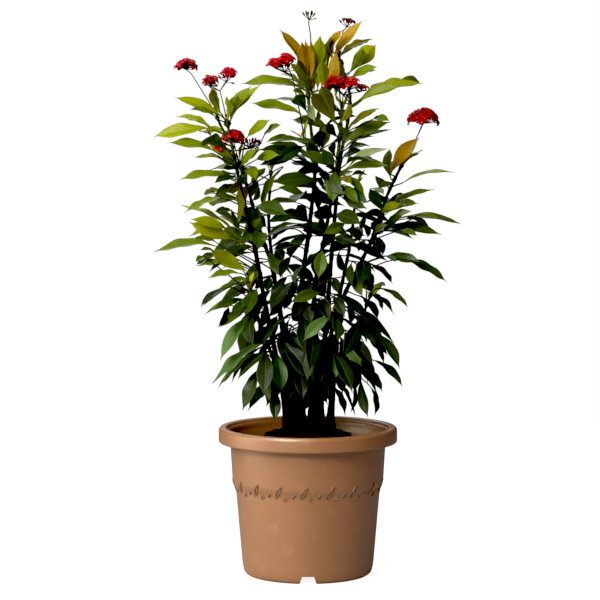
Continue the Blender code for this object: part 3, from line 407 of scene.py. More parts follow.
# Each bloom: the shoot or twig that it ends, its stalk's route, and its heads, each with its middle,
# half width and half height, and how many florets and buds it has.
blooms = {
    "bloom_left_high": {
        "on": "left_twig",
        "stalk": [(-198, -42, 934), (-227, -38, 980)],
        "heads": [(-236, -36, 996, 15, 10, 5, 3)],
    },
    "bloom_left_pair": {
        "on": "stem_left",
        "stalk": [(-165, -42, 922), (-171, -42, 946)],
        "heads": [(-190, -46, 966, 8, 8, 3, 2), (-155, -38, 981, 9, 6, 3, 1)],
        "fuller": [(-190, -50, 962, 9, 9, 1, 7), (-158, -42, 972, 12, 3, 0, 5)],
    },
    "bloom_left": {
        "on": "stem_left_inner",
        "stalk": [(-140, -8, 830)],
        "heads": [(-148, -14, 856, 18, 8, 4, 0), (-173, -12, 842, 3, 2, 1, 0), (-110, -10, 844, 16, 7, 0, 6)],
        "fuller": [(-145, -30, 860, 14, 8, 6, 0), (-174, -28, 841, 8, 4, 3, 0), (-114, -24, 845, 19, 5, 0, 16)],
    },
    "bloom_top_left": {
        "on": "centre_twig",
        "stalk": [(-10, -15, 870), (-19, -18, 919), (-31, -20, 975)],
        "heads": [(-64, -24, 1001, 8, 6, 2, 0), (-41, -20, 1004, 9, 8, 2, 3)],
        "fuller": [(-66, -30, 1000, 7, 6, 2, 2), (-43, -26, 1010, 7, 5, 3, 1), (-44, -26, 992, 14, 3, 0, 7)],
    },
    "bloom_centre": {
        "on": "stem_centre_right",
        "stalk": [(68, -58, 938)],
        "heads": [(52, -64, 961, 12, 13, 4, 0), (80, -60, 963, 10, 9, 3, 1), (103, -55, 954, 5, 3, 1, 1)],
        "fuller": [(52, -84, 960, 11, 14, 7, 0), (83, -76, 958, 10, 11, 5, 1)],
    },
    "bloom_right": {
        "on": "stem_right",
        "stalk": [(200, 14, 833), (214, 12, 862)],
        "heads": [(224, 10, 892, 27, 12, 9, 2)],
        "fuller": [(225, 4, 898, 19, 12, 8, 0)],
    },
    "buds_top": {
        "on": "stem_centre",
        "stalk": [(5, -4, 1040), (1, -4, 1078)],
        "heads": [(2, -4, 1092, 10, 4, 0, 7)],
    },
    "buds_top_right": {
        "on": "stem_right_tall",
        "stalk": [(64, 14, 1040), (68, 14, 1062)],
        "heads": [(75, 14, 1078, 11, 5, 1, 5)],
    },
}
bloomPlan = {
    "hubDrop": 9,
    "fall": 1.2,
    "uneven": 0.3,
    "pull": Vector((0, -0.35, 0.25)),
    "stalkLead": 7,
    "gap": 0.3,
    "goldenAngle": math.radians(137.5),
    "seed": 3,
}
bloomLook = {
    "petalLength": 13.5,
    "petalHalfWidth": 0.40,  # over the length
    "petalRows": 8,
    "petalColumns": (-1, -0.7, -0.3, 0, 0.3, 0.7, 1),
    "petalThickness": 0.4,
    "tubeLength": 5.0,
    "tubeRadius": 1.3,
    "calyxLength": 3.2,
    "calyxRadius": 1.9,
    "stalkRadius": (1.4, 1.0),
    "pedicelRadius": 0.6,
    "budLength": 9.5,
    "budRadius": 1.7,
    "moreBuds": 8,  # slim buds that stand out below the florets of each head
    "dryBuds": 1,
    "moreFlorets": 0.7,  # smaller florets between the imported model's, for each of those
    "stamens": 5,
    "red": screen(206, 2, 12),
    "crimson": screen(200, 2, 44),
    "throat": screen(196, 52, 20),
    "anther": screen(214, 150, 44),
    "calyx": screen(64, 4, 18),
    "stalk": screen(48, 26, 22),
    "paleStalk": screen(120, 112, 78),
    "bud": screen(132, 4, 22),
    "dryBud": screen(50, 10, 22),
    "dryPetal": screen(96, 4, 24),
    "crimsonBlooms": ("bloom_left_high", "bloom_left_pair"),
    "seed": 12,
}


# Mesh pieces are gathered in a batch: points, faces, each face's material and each point's tint and place
def newBatch():
    return {"points": [], "faces": [], "slots": [], "tints": [], "places": [], "count": 0}


def addShape(batch, points, faces, slot, tints, places):
    start = batch["count"]
    batch["points"].append(np.asarray(points, float))
    batch["faces"] += [tuple(corner + start for corner in face) for face in faces]
    batch["slots"] += [slot] * len(faces) if isinstance(slot, int) else list(slot)
    count = len(points)
    batch["tints"].append(np.broadcast_to(np.asarray(tints, float), (count, 3)))
    batch["places"].append(np.broadcast_to(np.asarray(places, float), (count, 3)))
    batch["count"] += count


def batchPiece(name, batch, materials, replaced=None):
    mesh = bpy.data.meshes.new(name)
    points = np.concatenate(batch["points"])
    mesh.from_pydata(points.tolist(), [], batch["faces"])
    mesh.polygons.foreach_set("material_index", batch["slots"])
    tint = mesh.attributes.new("tint", "FLOAT_COLOR", "POINT")
    tints = np.concatenate(batch["tints"])
    tint.data.foreach_set("color", np.column_stack([tints, np.ones(len(tints))]).ravel())
    place = mesh.attributes.new("place", "FLOAT_VECTOR", "POINT")
    place.data.foreach_set("vector", np.concatenate(batch["places"]).ravel())
    mesh.shade_smooth()
    for material in materials:
        mesh.materials.append(material)
    piece = bpy.data.objects.new(name, mesh)
    bpy.context.scene.collection.objects.link(piece)
    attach(piece, "root")
    if replaced:
        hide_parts(replaced)
    return piece


def unit(vector):
    return vector / max(np.linalg.norm(vector), 1e-12)


# Points and faces of a tube along a line, rounded off by a point at each end
def sweep(line, radii, sides):
    line = np.asarray(line, float)
    ahead = np.gradient(line, axis=0)
    ahead /= np.linalg.norm(ahead, axis=1)[:, None]
    side = unit(np.cross(ahead[0], (0.31, 0.95, 0.05)))
    turns = np.linspace(0, 2 * math.pi, sides, endpoint=False)
    rings = []
    for middle, direction, radius in zip(line, ahead, radii):
        side = unit(side - direction * (side @ direction))
        other = np.cross(direction, side)
        rings.append(middle + radius * (np.outer(np.cos(turns), side) + np.outer(np.sin(turns), other)))
    ends = [line[0] - ahead[0] * radii[0] * 0.5, line[-1] + ahead[-1] * radii[-1] * 0.5]
    points = np.concatenate(rings + [ends])
    faces = []
    for row in range(len(line) - 1):
        for edge in range(sides):
            here, after = row * sides + edge, row * sides + (edge + 1) % sides
            faces.append((here, after, after + sides, here + sides))
    first, last = len(points) - 2, len(points) - 1
    top = (len(line) - 1) * sides
    faces += [((edge + 1) % sides, edge, first) for edge in range(sides)]
    faces += [(top + edge, top + (edge + 1) % sides, last) for edge in range(sides)]
    return points, faces


# A thin solid from a grid of points: its upper face, its under face a thickness below, and its rim.
# Returns points, faces and, for each face, whether it belongs to the under side.
def sheetSolid(grid, normals, thickness):
    rows, columns = grid.shape[:2]
    under = grid - normals * thickness[..., None]
    points = np.concatenate([grid.reshape(-1, 3), under.reshape(-1, 3)])
    below = rows * columns
    faces, sides = [], []
    for row in range(rows - 1):
        for column in range(columns - 1):
            here = row * columns + column
            quad = (here, here + 1, here + columns + 1, here + columns)
            faces += [quad, tuple(below + corner for corner in reversed(quad))]
            sides += [0, 1]
    loop = [column for column in range(columns)]
    loop += [row * columns + columns - 1 for row in range(1, rows)]
    loop += [(rows - 1) * columns + column for column in range(columns - 2, -1, -1)]
    loop += [row * columns for row in range(rows - 2, 0, -1)]
    for here, after in zip(loop, loop[1:] + loop[:1]):
        faces.append((after, here, here + below, after + below))
        sides.append(1)
    return points, faces, sides


def gridNormals(grid):
    along = np.gradient(grid, axis=0)
    over = np.gradient(grid, axis=1)
    normals = np.cross(over, along)
    return normals / np.maximum(np.linalg.norm(normals, axis=2), 1e-12)[..., None]


# The plan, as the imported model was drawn
def inSight(x, depth, z):
    flat = Vector((x, 0.0, z)) * mm
    return viewpoint + (flat - viewpoint) * (1.0 - depth * mm / viewpoint.y)


def smoothLine(points, steps):
    ends = [points[0] * 2 - points[1]] + points + [points[-1] * 2 - points[-2]]
    curve = []
    for i in range(1, len(ends) - 2):
        a, b, c, d = ends[i - 1 : i + 3]
        for step in range(steps):
            t = step / steps
            square = (2 * a - 5 * b + 4 * c - d) * t**2
            cube = (3 * b - a - 3 * c + d) * t**3
            curve.append(0.5 * (2 * b + (c - a) * t + square + cube))
    return curve + [points[-1]]


def nearestAtHeight(line, height):
    if height <= line[0].z:
        return line[0].copy()
    for a, b in zip(line, line[1:]):
        if a.z <= height <= b.z:
            return a.lerp(b, (height - a.z) / max(b.z - a.z, 1e-9))
    return line[-1].copy()


def planLines():
    lines, owners, radii = {}, {}, {}
    for node, stem in stems.items():
        points = [inSight(*place) for place in stem["route"]]
        bottom = Vector((points[0].x, points[0].y, stemLook["holeFloor"] * mm))
        lines[node] = [bottom] + smoothLine(points, stemLook["planSteps"])
        owners[node], radii[node] = node, stem["radius"]
        for name, route in stem["branches"].items():
            points = [inSight(*place) for place in route]
            points[0] = nearestAtHeight(lines[node], points[0].z)
            lines[name] = smoothLine(points, stemLook["planSteps"])
            owners[name], radii[name] = node, stemLook["branchRadius"]
    return lines, owners, radii


def facingViewer(foot, tip, share):
    forward = (tip - foot).normalized()
    view = (foot - viewpoint).normalized()
    away = (view - forward * view.dot(forward)).normalized()
    upright = forward.cross(away)
    best = None
    for turn in (1.0, -1.0):
        across = away * math.sqrt(1.0 - share**2) + upright * share * turn
        face = across.cross(forward)
        if face.z < -0.05:
            across, face = -across, -face
        if best is None or face.dot(view) < best[1].dot(view):
            best = (across, face)
    return best


def planLeaf(line, numbers, order, shift):
    plan = leafPlan
    footX, footZ, tipX, tipZ, shown = numbers
    shownLength = math.hypot(tipX - footX, tipZ - footZ)
    level = nearestAtHeight(line, footZ * mm)
    rootHeight = footZ * mm - plan["petioleRise"] * abs(footX * mm - level.x)
    lowest, highest = line[0].z + plan["rootMargin"], line[-1].z - plan["rootMargin"]
    root = nearestAtHeight(line, min(max(rootHeight, lowest), highest))
    hiddenLength = math.sqrt(max(plan["length"] ** 2 - shownLength**2, 0.0))
    lean = min(max(plan["leanShare"] * hiddenLength, plan["leastLean"]), plan["mostLean"])
    turn = (-lean if shown >= plan["wideLook"] or order % 2 == 0 else lean) + shift
    depth = root.y / mm
    foot = inSight(footX, depth + plan["footLean"] * turn, footZ)
    tip = inSight(tipX, depth + turn, tipZ)
    length = (tip - foot).length
    width = max(shown * mm, plan["slimness"] * length)
    across, face = facingViewer(foot, tip, min(shown * mm / width, 1.0))
    return {"root": root, "foot": foot, "tip": tip, "across": across, "face": face, "width": width}


def fillLeaf(line, height, heading, length, roll):
    plan = leafPlan
    root = nearestAtHeight(line, height * mm)
    climb = (height - plan["levelHeight"]) / (plan["topHeight"] - plan["levelHeight"])
    rise = math.radians(plan["topRise"] * max(min(climb, 1.0), -1.0))
    flat = Vector((math.cos(heading), math.sin(heading), 0.0))
    forward = flat * math.cos(rise) + Vector((0, 0, math.sin(rise)))
    stalkRise = rise + math.radians(plan["fillPetioleRise"])
    stalk = flat * math.cos(stalkRise) + Vector((0, 0, math.sin(stalkRise)))
    foot = root + stalk * (plan["fillPetiole"] * length)
    level = forward.cross(Vector((0, 0, 1))).normalized()
    face = level.cross(forward)
    across = level * math.cos(roll) + face * math.sin(roll)
    return {
        "root": root, "foot": foot, "tip": foot + forward * length,
        "across": across, "face": across.cross(forward), "width": plan["fillSlimness"] * length,
    }


def nodeTrees():
    trees = {}
    for node in stems:
        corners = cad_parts[node].data.vertices
        tree = KDTree(len(corners))
        for index, corner in enumerate(corners):
            tree.insert(corner.co, index)
        tree.balance()
        trees[node] = tree
    return trees


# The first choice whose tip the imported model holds
def heldChoice(choices, tree):
    for leaf in choices:
        if tree.find(leaf["tip"])[2] < leafPlan["tipReach"]:
            return leaf
    return None


def planLeaves(lines, owners):
    plan = leafPlan
    trees = nodeTrees()
    leaves, missed = [], 0
    for part, rows in handLeaves.items():
        for order, row in enumerate(rows):
            numbers, tone = row[:5], row[5] if len(row) > 5 else None
            leaf = heldChoice((planLeaf(lines[part], numbers, order, s) for s in plan["shifts"]), trees[owners[part]])
            if leaf:
                leaves.append({**leaf, "node": owners[part], "part": part, "tone": tone, "outer": True})
            else:
                missed += 1
    draw = random.Random(plan["seed"])
    for part, (low, high, count) in fillLeaves.items():
        phase = draw.uniform(0, 2 * math.pi)
        for index in range(count):
            height = low + (high - low) * (index + 0.5) / count
            length = draw.uniform(*plan["fillLength"])
            roll = math.radians(draw.uniform(-plan["fillRoll"], plan["fillRoll"]))
            heading = phase + index * plan["goldenAngle"]
            choices = (
                fillLeaf(lines[part], height, heading + math.radians(turn), length * shorter * mm, roll)
                for shorter in plan["fillShorter"]
                for turn in plan["fillTurns"]
            )
            leaf = heldChoice(choices, trees[owners[part]])
            if leaf:
                leaves.append({**leaf, "node": owners[part], "part": part, "tone": None, "outer": False})
            else:
                missed += 1
    print(len(leaves), "leaves placed,", missed, "not in the packed model")
    for part, rows in moreLeaves.items():
        for order, (*numbers, tone) in enumerate(rows):
            leaf = planLeaf(lines[part], numbers, order, 0)
            leaves.append({**leaf, "node": owners[part], "part": part, "tone": tone, "outer": False})
    return leaves


# Fine leaves
def halfWidth(t):
    widest = leafLook["widest"]
    rising = np.sin(math.pi / 2 * np.minimum(t / widest, 1.0)) ** leafLook["taper"]
    bladeEnd = 1.0 - leafLook["dripTip"] / 2
    falling = 1 - np.clip((t - widest) / (bladeEnd - widest), 0, 1) ** 1.9
    drip = 0.16 * np.clip((1 - t) / leafLook["dripTip"], 0, 1)
    return np.where(t < widest, rising, np.maximum(falling, drip))


def bladeTone(leaf, draw):
    tones = leafTones
    if leaf["tone"] and leaf["tone"] != "blushed":
        return np.array(tones[leaf["tone"]]) * draw.uniform(0.9, 1.1)
    middle = leaf["foot"].lerp(leaf["tip"], 0.5)
    height = (middle.z - leafLight["lowest"]) / (leafLight["highest"] - leafLight["lowest"])
    start, rise = leafLight["outer" if leaf["outer"] else "inner"]
    # Painted light and shade: lighter higher up (partly the real young growth) and to the left, darker towards the
    # right and near the axis below the top.
    light = start + rise * height - leafLight["paintedShadeTowardsRight"] * middle.x / potHigh.x
    inside = 1 - np.interp(math.hypot(middle.x, middle.y), leafLight["insideReach"], (0, 1))
    light -= leafLight["paintedShadeInside"] * inside * (1 - np.interp(middle.z, leafLight["insideBelow"], (0, 1)))
    light += draw.uniform(-leafLight["uneven"], leafLight["uneven"])
    stops = leafLight["stops"]
    if light <= stops[0][0]:
        return np.array(tones["dark"])
    for (low, first), (high, second) in zip(stops, stops[1:]):
        if light <= high:
            return np.array(blend(tones[first], tones[second], (light - low) / (high - low)))
    return np.array(tones["young"])


def addLeaf(batch, leaf, draw):
    look = leafLook
    foot, tip = np.array(leaf["foot"]), np.array(leaf["tip"])
    across, face = np.array(leaf["across"]), np.array(leaf["face"])
    length = np.linalg.norm(tip - foot)
    t = np.linspace(0, 1, look["rows"])[:, None]
    t = 0.6 * t + 0.4 * (1 - np.cos(math.pi * t)) / 2
    s = np.array(look["columns"])[None, :]
    half = halfWidth(t) * leaf["width"] / 2
    half = np.maximum(half, mm * (look["footHalfWidth"] * (1 - t) + look["tipHalfWidth"] * t))
    hump = 4 * t * (1 - t)
    sickle = look["sickle"] * length * draw.uniform(-1, 1)
    bow = leafPlan["arch"] * length
    droop = look["droop"] * length * draw.uniform(0.2, 1.0) * (hump * t - hump * 0.5)
    middle = foot + t * (tip - foot) + hump * (across * sickle) + (hump * bow - droop) * face
    fold = math.radians(look["fold"] * draw.uniform(0.5, 1.5))
    waves = draw.uniform(*look["waves"])
    height = draw.uniform(*look["waveHeight"]) * length
    phases = np.where(s < 0, draw.uniform(0, 6.3), draw.uniform(0, 6.3))
    wave = height * np.sin(2 * math.pi * waves * t + phases) * s**2 * np.sqrt(np.clip(hump, 0, 1))
    lift = half * (np.abs(s) - 0.45) * math.sin(fold) + wave
    lift = lift - look["groove"] * mm * np.exp(-((s / 0.09) ** 2)) * (1 - t)
    turn = math.radians(look["twist"]) * draw.uniform(-1, 1) * (t - 0.35)
    acrossHere = np.cos(turn) * across + np.sin(turn) * face
    faceHere = np.cos(turn) * face - np.sin(turn) * across
    grid = middle[:, None, :] + (half * s * math.cos(fold))[..., None] * acrossHere[:, None, :]
    grid = grid + lift[..., None] * faceHere[:, None, :]
    normals = gridNormals(grid)
    rib = look["ribHeight"] * np.exp(-((s / 0.07) ** 2)) * (1 - 0.85 * t)
    thickness = (look["thickness"] + rib) * mm * (1 - 0.35 * np.abs(s))
    thickness = np.minimum(thickness, half * 0.9)
    points, faces, sides = sheetSolid(grid, normals, thickness)
    base = bladeTone(leaf, draw)
    tint = np.broadcast_to(base, (*grid.shape[:2], 3)).copy()
    if leaf["tone"] == "blushed":
        share = np.clip((t - 0.45) / 0.5, 0, 1)[..., None]
        tint = tint * (1 - share) + np.array(leafTones["bronze"]) * share
    tint = tint.reshape(-1, 3)
    seed = draw.random()
    place = np.stack(np.broadcast_arrays(s, t, seed), axis=2).reshape(-1, 3)
    addShape(batch, points, faces, sides, np.concatenate([tint, tint]), np.concatenate([place, place]))
    ahead = (tip - foot) / length + 4 * leafPlan["arch"] * face
    addPetiole(batch, np.array(leaf["root"]), middle[1], ahead, base)


def addPetiole(batch, root, foot, ahead, base):
    look = leafLook
    reach = np.linalg.norm(foot - root)
    first = (foot - root) + np.array((0, 0, 0.15 * reach))
    last = unit(ahead) * reach
    t = np.linspace(0, 1, look["petioleSteps"])[:, None]
    h00, h10 = 2 * t**3 - 3 * t**2 + 1, t**3 - 2 * t**2 + t
    h01, h11 = -2 * t**3 + 3 * t**2, t**3 - t**2
    line = h00 * root + h10 * first + h01 * foot + h11 * last
    radii = np.linspace(*look["petioleRadius"], len(line)) * mm
    radii[0] *= 1.5
    points, faces = sweep(line, radii, look["petioleSides"])
    share = np.concatenate([np.repeat(t[:, 0] ** 0.6, look["petioleSides"]), [0.0, 1.0]])[:, None]
    tint = np.array(stemLook["old"]) * (1 - share) + base * 0.7 * share
    addShape(batch, points, faces, 2, tint, (0, 0, 0))


# Stems, with leaf scars, swellings where leaves grow and a flare at the soil
def resampled(line, spacing):
    line = np.array([tuple(point) for point in line])
    steps = np.linalg.norm(np.diff(line, axis=0), axis=1)
    reach = np.concatenate([[0], np.cumsum(steps)])
    count = max(int(reach[-1] / spacing), 2)
    marks = np.linspace(0, reach[-1], count + 1)
    return np.column_stack([np.interp(marks, reach, line[:, axis]) for axis in range(3)]), marks / reach[-1]


def addStem(batch, line, ends, roots, isBranch, draw):
    look = stemLook
    planPoints = line[1:] if not isBranch else line
    knots = planPoints[:: look["planSteps"]]
    fine = smoothLine(knots, 8)
    if not isBranch:
        fine = [line[0]] + fine
    points, share = resampled(fine, look["pointSpacing"] * mm)
    radii = (ends[0] + (ends[1] - ends[0]) * share ** look["taper"]) * mm
    z = points[:, 2] / mm
    if not isBranch:
        radii *= 1 + look["flare"] * np.exp(-np.maximum(z - look["flareFrom"], 0) / look["flareReach"])
    for root in roots:
        radii += look["nodeHeight"] * mm * np.exp(-(((z - root) / 3.5) ** 2))
    mark = 300 + draw.uniform(0, 10)
    scars = np.zeros(len(z))
    while mark < z[-1]:
        scars = np.maximum(scars, np.exp(-(((z - mark) / 2.2) ** 2)))
        mark += look["scarSpacing"] * draw.uniform(0.6, 1.4)
    radii += scars * look["scarHeight"] * mm
    points, faces = sweep(points, radii, look["sides"])
    low, high = look["youngFrom"]
    young = np.clip((z - low) / (high - low), 0, 1)
    tint = np.array(look["old"]) * (1 - young[:, None]) + np.array(look["young"]) * young[:, None]
    tint = tint * (1 - 0.35 * scars[:, None])
    tint = np.repeat(tint, look["sides"], axis=0)
    tint = np.concatenate([tint, tint[:1], tint[-1:]])
    for index in range(len(points)):
        rough = noise.noise(Vector(points[index]) * 120) * 0.25 * mm
        points[index, 0] += rough
        points[index, 1] += rough
    addShape(batch, points, faces, 0, tint, (0, 0, 0))


# A few unfolding leaves round the end of each shoot
def newLeaves(line, node, part, draw):
    leaves = []
    top = line[-1]
    ahead = (line[-1] - line[-2]).normalized()
    side = ahead.orthogonal().normalized()
    other = ahead.cross(side)
    for index in range(4):
        turn = index * leafPlan["goldenAngle"] + draw.uniform(-0.3, 0.3)
        out = side * math.cos(turn) + other * math.sin(turn)
        length = (42 - 8 * index) * draw.uniform(0.85, 1.15) * mm
        forward = (ahead + out * draw.uniform(0.45, 0.75)).normalized()
        root = top - ahead * (2 * mm)
        foot = root + forward * (0.18 * length)
        across = forward.cross(ahead).normalized()
        leaves.append({
            "root": root, "foot": foot, "tip": foot + forward * length, "across": across,
            "face": across.cross(forward), "width": 0.32 * length, "node": node, "part": part,
            "tone": "bronze" if index > 1 else "young", "outer": True,
        })
    return leaves


# Blooms
def petalGrid(base, out, up, length, draw):
    look = bloomLook
    u = np.linspace(0, 1, look["petalRows"])[:, None]
    s = np.array(look["petalColumns"])[None, :]
    shape = 0.2 + 0.8 * np.sin(math.pi / 2 * np.clip(u / 0.66, 0, 1)) ** 1.3
    shape = shape * np.sqrt(np.clip(1 - np.clip((u - 0.62) / 0.39, 0, 1) ** 2.4, 0.02, 1))
    half = shape * look["petalHalfWidth"] * length
    side = np.cross(up, out)
    curl = draw.uniform(0.02, 0.16)
    rise = 0.16 * np.sin(math.pi * u * 0.9) - curl * u**2
    cup = 0.22 * half * s**2 + 0.02 * length * np.sin(3 * s + draw.uniform(0, 6)) * u
    middle = base + out * (length * u)[..., 0][:, None] + up * (length * rise)[..., 0][:, None]
    grid = middle[:, None, :] + (half * s)[..., None] * side + cup[..., None] * up
    return grid, u, s


def addFloret(batch, hub, middle, facing, spin, colours, size, draw):
    look = bloomLook
    facing = np.array(facing)
    hub, middle = np.array(hub), np.array(middle)
    colour = np.array(colours["petal"])
    side = np.array(Vector(facing).orthogonal().normalized())
    other = np.cross(facing, side)
    throat = middle - facing * (1.5 * mm)
    tubeFoot = throat - facing * (look["tubeLength"] * mm)
    pedicel = [hub + (tubeFoot - hub) * share for share in np.linspace(0, 1, 6)]
    points, faces = sweep(pedicel, np.full(6, look["pedicelRadius"] * mm), 6)
    addShape(batch, points, faces, 1, look["calyx"], (0, 0, 0))
    cup = [tubeFoot + facing * (look["calyxLength"] * mm * share) for share in np.linspace(-0.3, 1, 6)]
    points, faces = sweep(cup, np.array([0.4, 0.75, 1, 1, 0.9, 0.8]) * look["calyxRadius"] * mm, 8)
    addShape(batch, points, faces, 1, look["calyx"], (0, 0, 0))
    tube = [tubeFoot + (throat - tubeFoot) * share for share in np.linspace(0.2, 1, 5)]
    points, faces = sweep(tube, np.array([0.8, 0.85, 0.9, 1.0, 1.1]) * look["tubeRadius"] * mm, 8)
    addShape(batch, points, faces, 0, colour * 0.6, (0, 0, 0))
    length = size * look["petalLength"] * mm * draw.uniform(0.92, 1.06)
    for petal in range(5):
        angle = spin + petal * 2 * math.pi / 5 + draw.uniform(-0.08, 0.08)
        out = side * math.cos(angle) + other * math.sin(angle)
        base = throat + out * (look["tubeRadius"] * 0.6 * mm)
        grid, u, s = petalGrid(base, out, facing, length, draw)
        normals = gridNormals(grid)
        if np.sum(normals @ facing) < 0:
            grid, normals = grid[:, ::-1], -normals[:, ::-1]
        thickness = np.full(grid.shape[:2], look["petalThickness"] * mm)
        points, faces, sides = sheetSolid(grid, normals, thickness)
        share = np.broadcast_to(np.clip(1 - u * 5, 0, 1), grid.shape[:2])[..., None]
        tint = colour * (1 - share) + np.array(look["throat"]) * share
        tint = (tint * draw.uniform(0.85, 1.08)).reshape(-1, 3)
        place = np.stack(np.broadcast_arrays(s, u, draw.random()), axis=2).reshape(-1, 3)
        addShape(batch, points, faces, 0, np.concatenate([tint, tint]), np.concatenate([place, place]))
    for stamen in range(look["stamens"]):
        angle = stamen * 2 * math.pi / look["stamens"]
        out = side * math.cos(angle) + other * math.sin(angle)
        lean = 0.25 if stamen % 2 else 0.45
        end = throat + (facing + out * lean) * (4.6 * mm if stamen % 2 else 3.6 * mm)
        line = [throat + (end - throat) * share for share in (0, 0.5, 1)]
        points, faces = sweep(line, np.full(3, 0.16 * mm), 4)
        addShape(batch, points, faces, 1, look["throat"], (0, 0, 0))
        knob = [end + facing * (step * mm) for step in (-0.5, 0.0, 0.5)]
        points, faces = sweep(knob, np.array([0.3, 0.45, 0.25]) * mm, 5)
        addShape(batch, points, faces, 1, look["anther"], (0, 0, 0))


def addBud(batch, hub, middle, facing, colour, size):
    look = bloomLook
    hub, middle, facing = np.array(hub), np.array(middle), np.array(facing)
    length, radius = look["budLength"] * size * mm, look["budRadius"] * size * mm
    foot = middle - facing * (0.5 * length)
    line = [hub + (foot - hub) * share for share in np.linspace(0, 1, 6)]
    points, faces = sweep(line, np.full(6, look["pedicelRadius"] * mm), 6)
    addShape(batch, points, faces, 1, look["stalk"], (0, 0, 0))
    shares = np.linspace(0, 1, 10)
    body = [foot + facing * (length * share) for share in shares]
    radii = radius * np.sin(math.pi * np.clip(shares * 0.93 + 0.05, 0, 1)) ** 0.8
    points, faces = sweep(body, radii, 8)
    tint = np.array(look["calyx"]) + (np.array(colour) - np.array(look["calyx"])) * np.repeat(shares, 8)[:, None]
    tint = np.concatenate([tint, tint[:1], tint[-1:]])
    addShape(batch, points, faces, 1, tint, (0, 0, 0))


def addHead(batch, stalkEnd, head, colours, draw, fineDraw):
    plan, look = bloomPlan, bloomLook
    x, depth, z, halfWide, halfHigh, florets, buds = head
    middle = inSight(x, depth, z)
    hub = middle - Vector((0, 0, plan["hubDrop"] * mm))
    line = [stalkEnd.lerp(hub, share) for share in np.linspace(0, 1, 6)]
    points, faces = sweep(line, np.full(6, look["stalkRadius"][1] * mm), 8)
    addShape(batch, points, faces, 1, colours["stalk"], (0, 0, 0))
    count = florets + buds
    every = count / buds if buds else count + 1
    for index in range(count):
        share = (index + 0.5) / count
        rise = 1.0 - plan["fall"] * share if count > 1 else 1.0
        roundOut = math.sqrt(max(1.0 - rise**2, 0.0))
        angle = index * plan["goldenAngle"] + draw.uniform(-plan["uneven"], plan["uneven"])
        flat = Vector((math.cos(angle), math.sin(angle), 0.0)) * (roundOut * halfWide)
        place = middle + (flat + Vector((0, 0, rise * halfHigh))) * mm
        facing = ((place - hub).normalized() + plan["pull"]).normalized()
        spin = draw.uniform(0, 1.2)
        if (index + 1) % every < 1.0:
            addBud(batch, hub, place + facing * (2.0 * mm), facing, colours["bud"], 1.0)
        else:
            addFloret(batch, hub, place, facing, spin, colours, 1.0, fineDraw)
    for index in range(round(florets * colours["more"])):
        rise = fineDraw.uniform(-0.3, 0.9)
        angle = (index + 0.5) * plan["goldenAngle"] + fineDraw.uniform(-0.3, 0.3)
        flat = Vector((math.cos(angle), math.sin(angle), 0.0)) * (math.sqrt(1.0 - rise**2) * halfWide)
        place = middle + (flat + Vector((0, 0, rise * halfHigh))) * mm
        facing = ((place - hub).normalized() + plan["pull"] * 0.5).normalized()
        spin = fineDraw.uniform(0, 1.2)
        addFloret(batch, hub, place, facing, spin, colours, fineDraw.uniform(0.7, 0.9), fineDraw)
    for index in range(colours["moreBuds"]):
        angle = index * plan["goldenAngle"] + fineDraw.uniform(-0.4, 0.4)
        flat = Vector((math.cos(angle), math.sin(angle), fineDraw.uniform(-0.3, 0.5)))
        place = hub + flat * ((halfWide + fineDraw.uniform(2, 6)) * 0.85 * mm) + Vector((0, 0, 0.002))
        facing = (place - hub).normalized()
        addBud(batch, hub, place, facing, colours["bud"], fineDraw.uniform(0.6, 1.0))


def makeBloom(name, lines, draw, fineDraw, materials):
    bloom, look = blooms[name], bloomLook
    shoot = lines[bloom["on"]]
    onward = (shoot[-1] - shoot[-2]).normalized()
    start = shoot[-1] + onward * (bloomPlan["gap"] * mm)
    knots = [start, start + onward * (bloomPlan["stalkLead"] * mm)] + [inSight(*p) for p in bloom["stalk"]]
    batch = newBatch()
    line, share = resampled(smoothLine(knots, 6), 3 * mm)
    radii = (look["stalkRadius"][0] + (look["stalkRadius"][1] - look["stalkRadius"][0]) * share) * mm
    points, faces = sweep(line, radii, 8)
    dry = name.startswith("buds")
    crimson = name in look["crimsonBlooms"]
    colours = {
        "petal": look["dryPetal"] if dry else look["crimson"] if crimson else look["red"],
        "bud": look["dryBud"] if dry else look["bud"],
        "stalk": look["paleStalk"] if crimson else look["stalk"],
        "more": 0 if dry else look["moreFlorets"],
        "moreBuds": look["dryBuds"] if dry else look["moreBuds"],
    }
    addShape(batch, points, faces, 1, colours["stalk"], (0, 0, 0))
    for head in bloom["heads"]:
        addHead(batch, knots[-1], head, colours, draw, fineDraw)
    colours.update(more=0, moreBuds=2)
    for head in bloom.get("fuller", []):
        addHead(batch, knots[-1], head, colours, fineDraw, fineDraw)
    return batchPiece(name + "_flowers", batch, materials, name)


# Shader groups that several materials share
def makeGroup(name, inputs, outputs):
    group = bpy.data.node_groups.new(name, "ShaderNodeTree")
    for label, kind, value in inputs:
        socket = group.interface.new_socket(name=label, in_out="INPUT", socket_type=kind)
        if value is not None:
            socket.default_value = value
    for label, kind in outputs:
        group.interface.new_socket(name=label, in_out="OUTPUT", socket_type=kind)
    return group, group.nodes.new("NodeGroupInput"), group.nodes.new("NodeGroupOutput")


def mathNode(tree, operation, first, second=None, clamp=False):
    node = tree.nodes.new("ShaderNodeMath")
    node.operation = operation
    node.use_clamp = clamp
    for socket, value in zip(node.inputs, (first, second)):
        if value is None:
            continue
        if isinstance(value, (int, float)):
            socket.default_value = value
        else:
            tree.links.new(value, socket)
    return node.outputs[0]


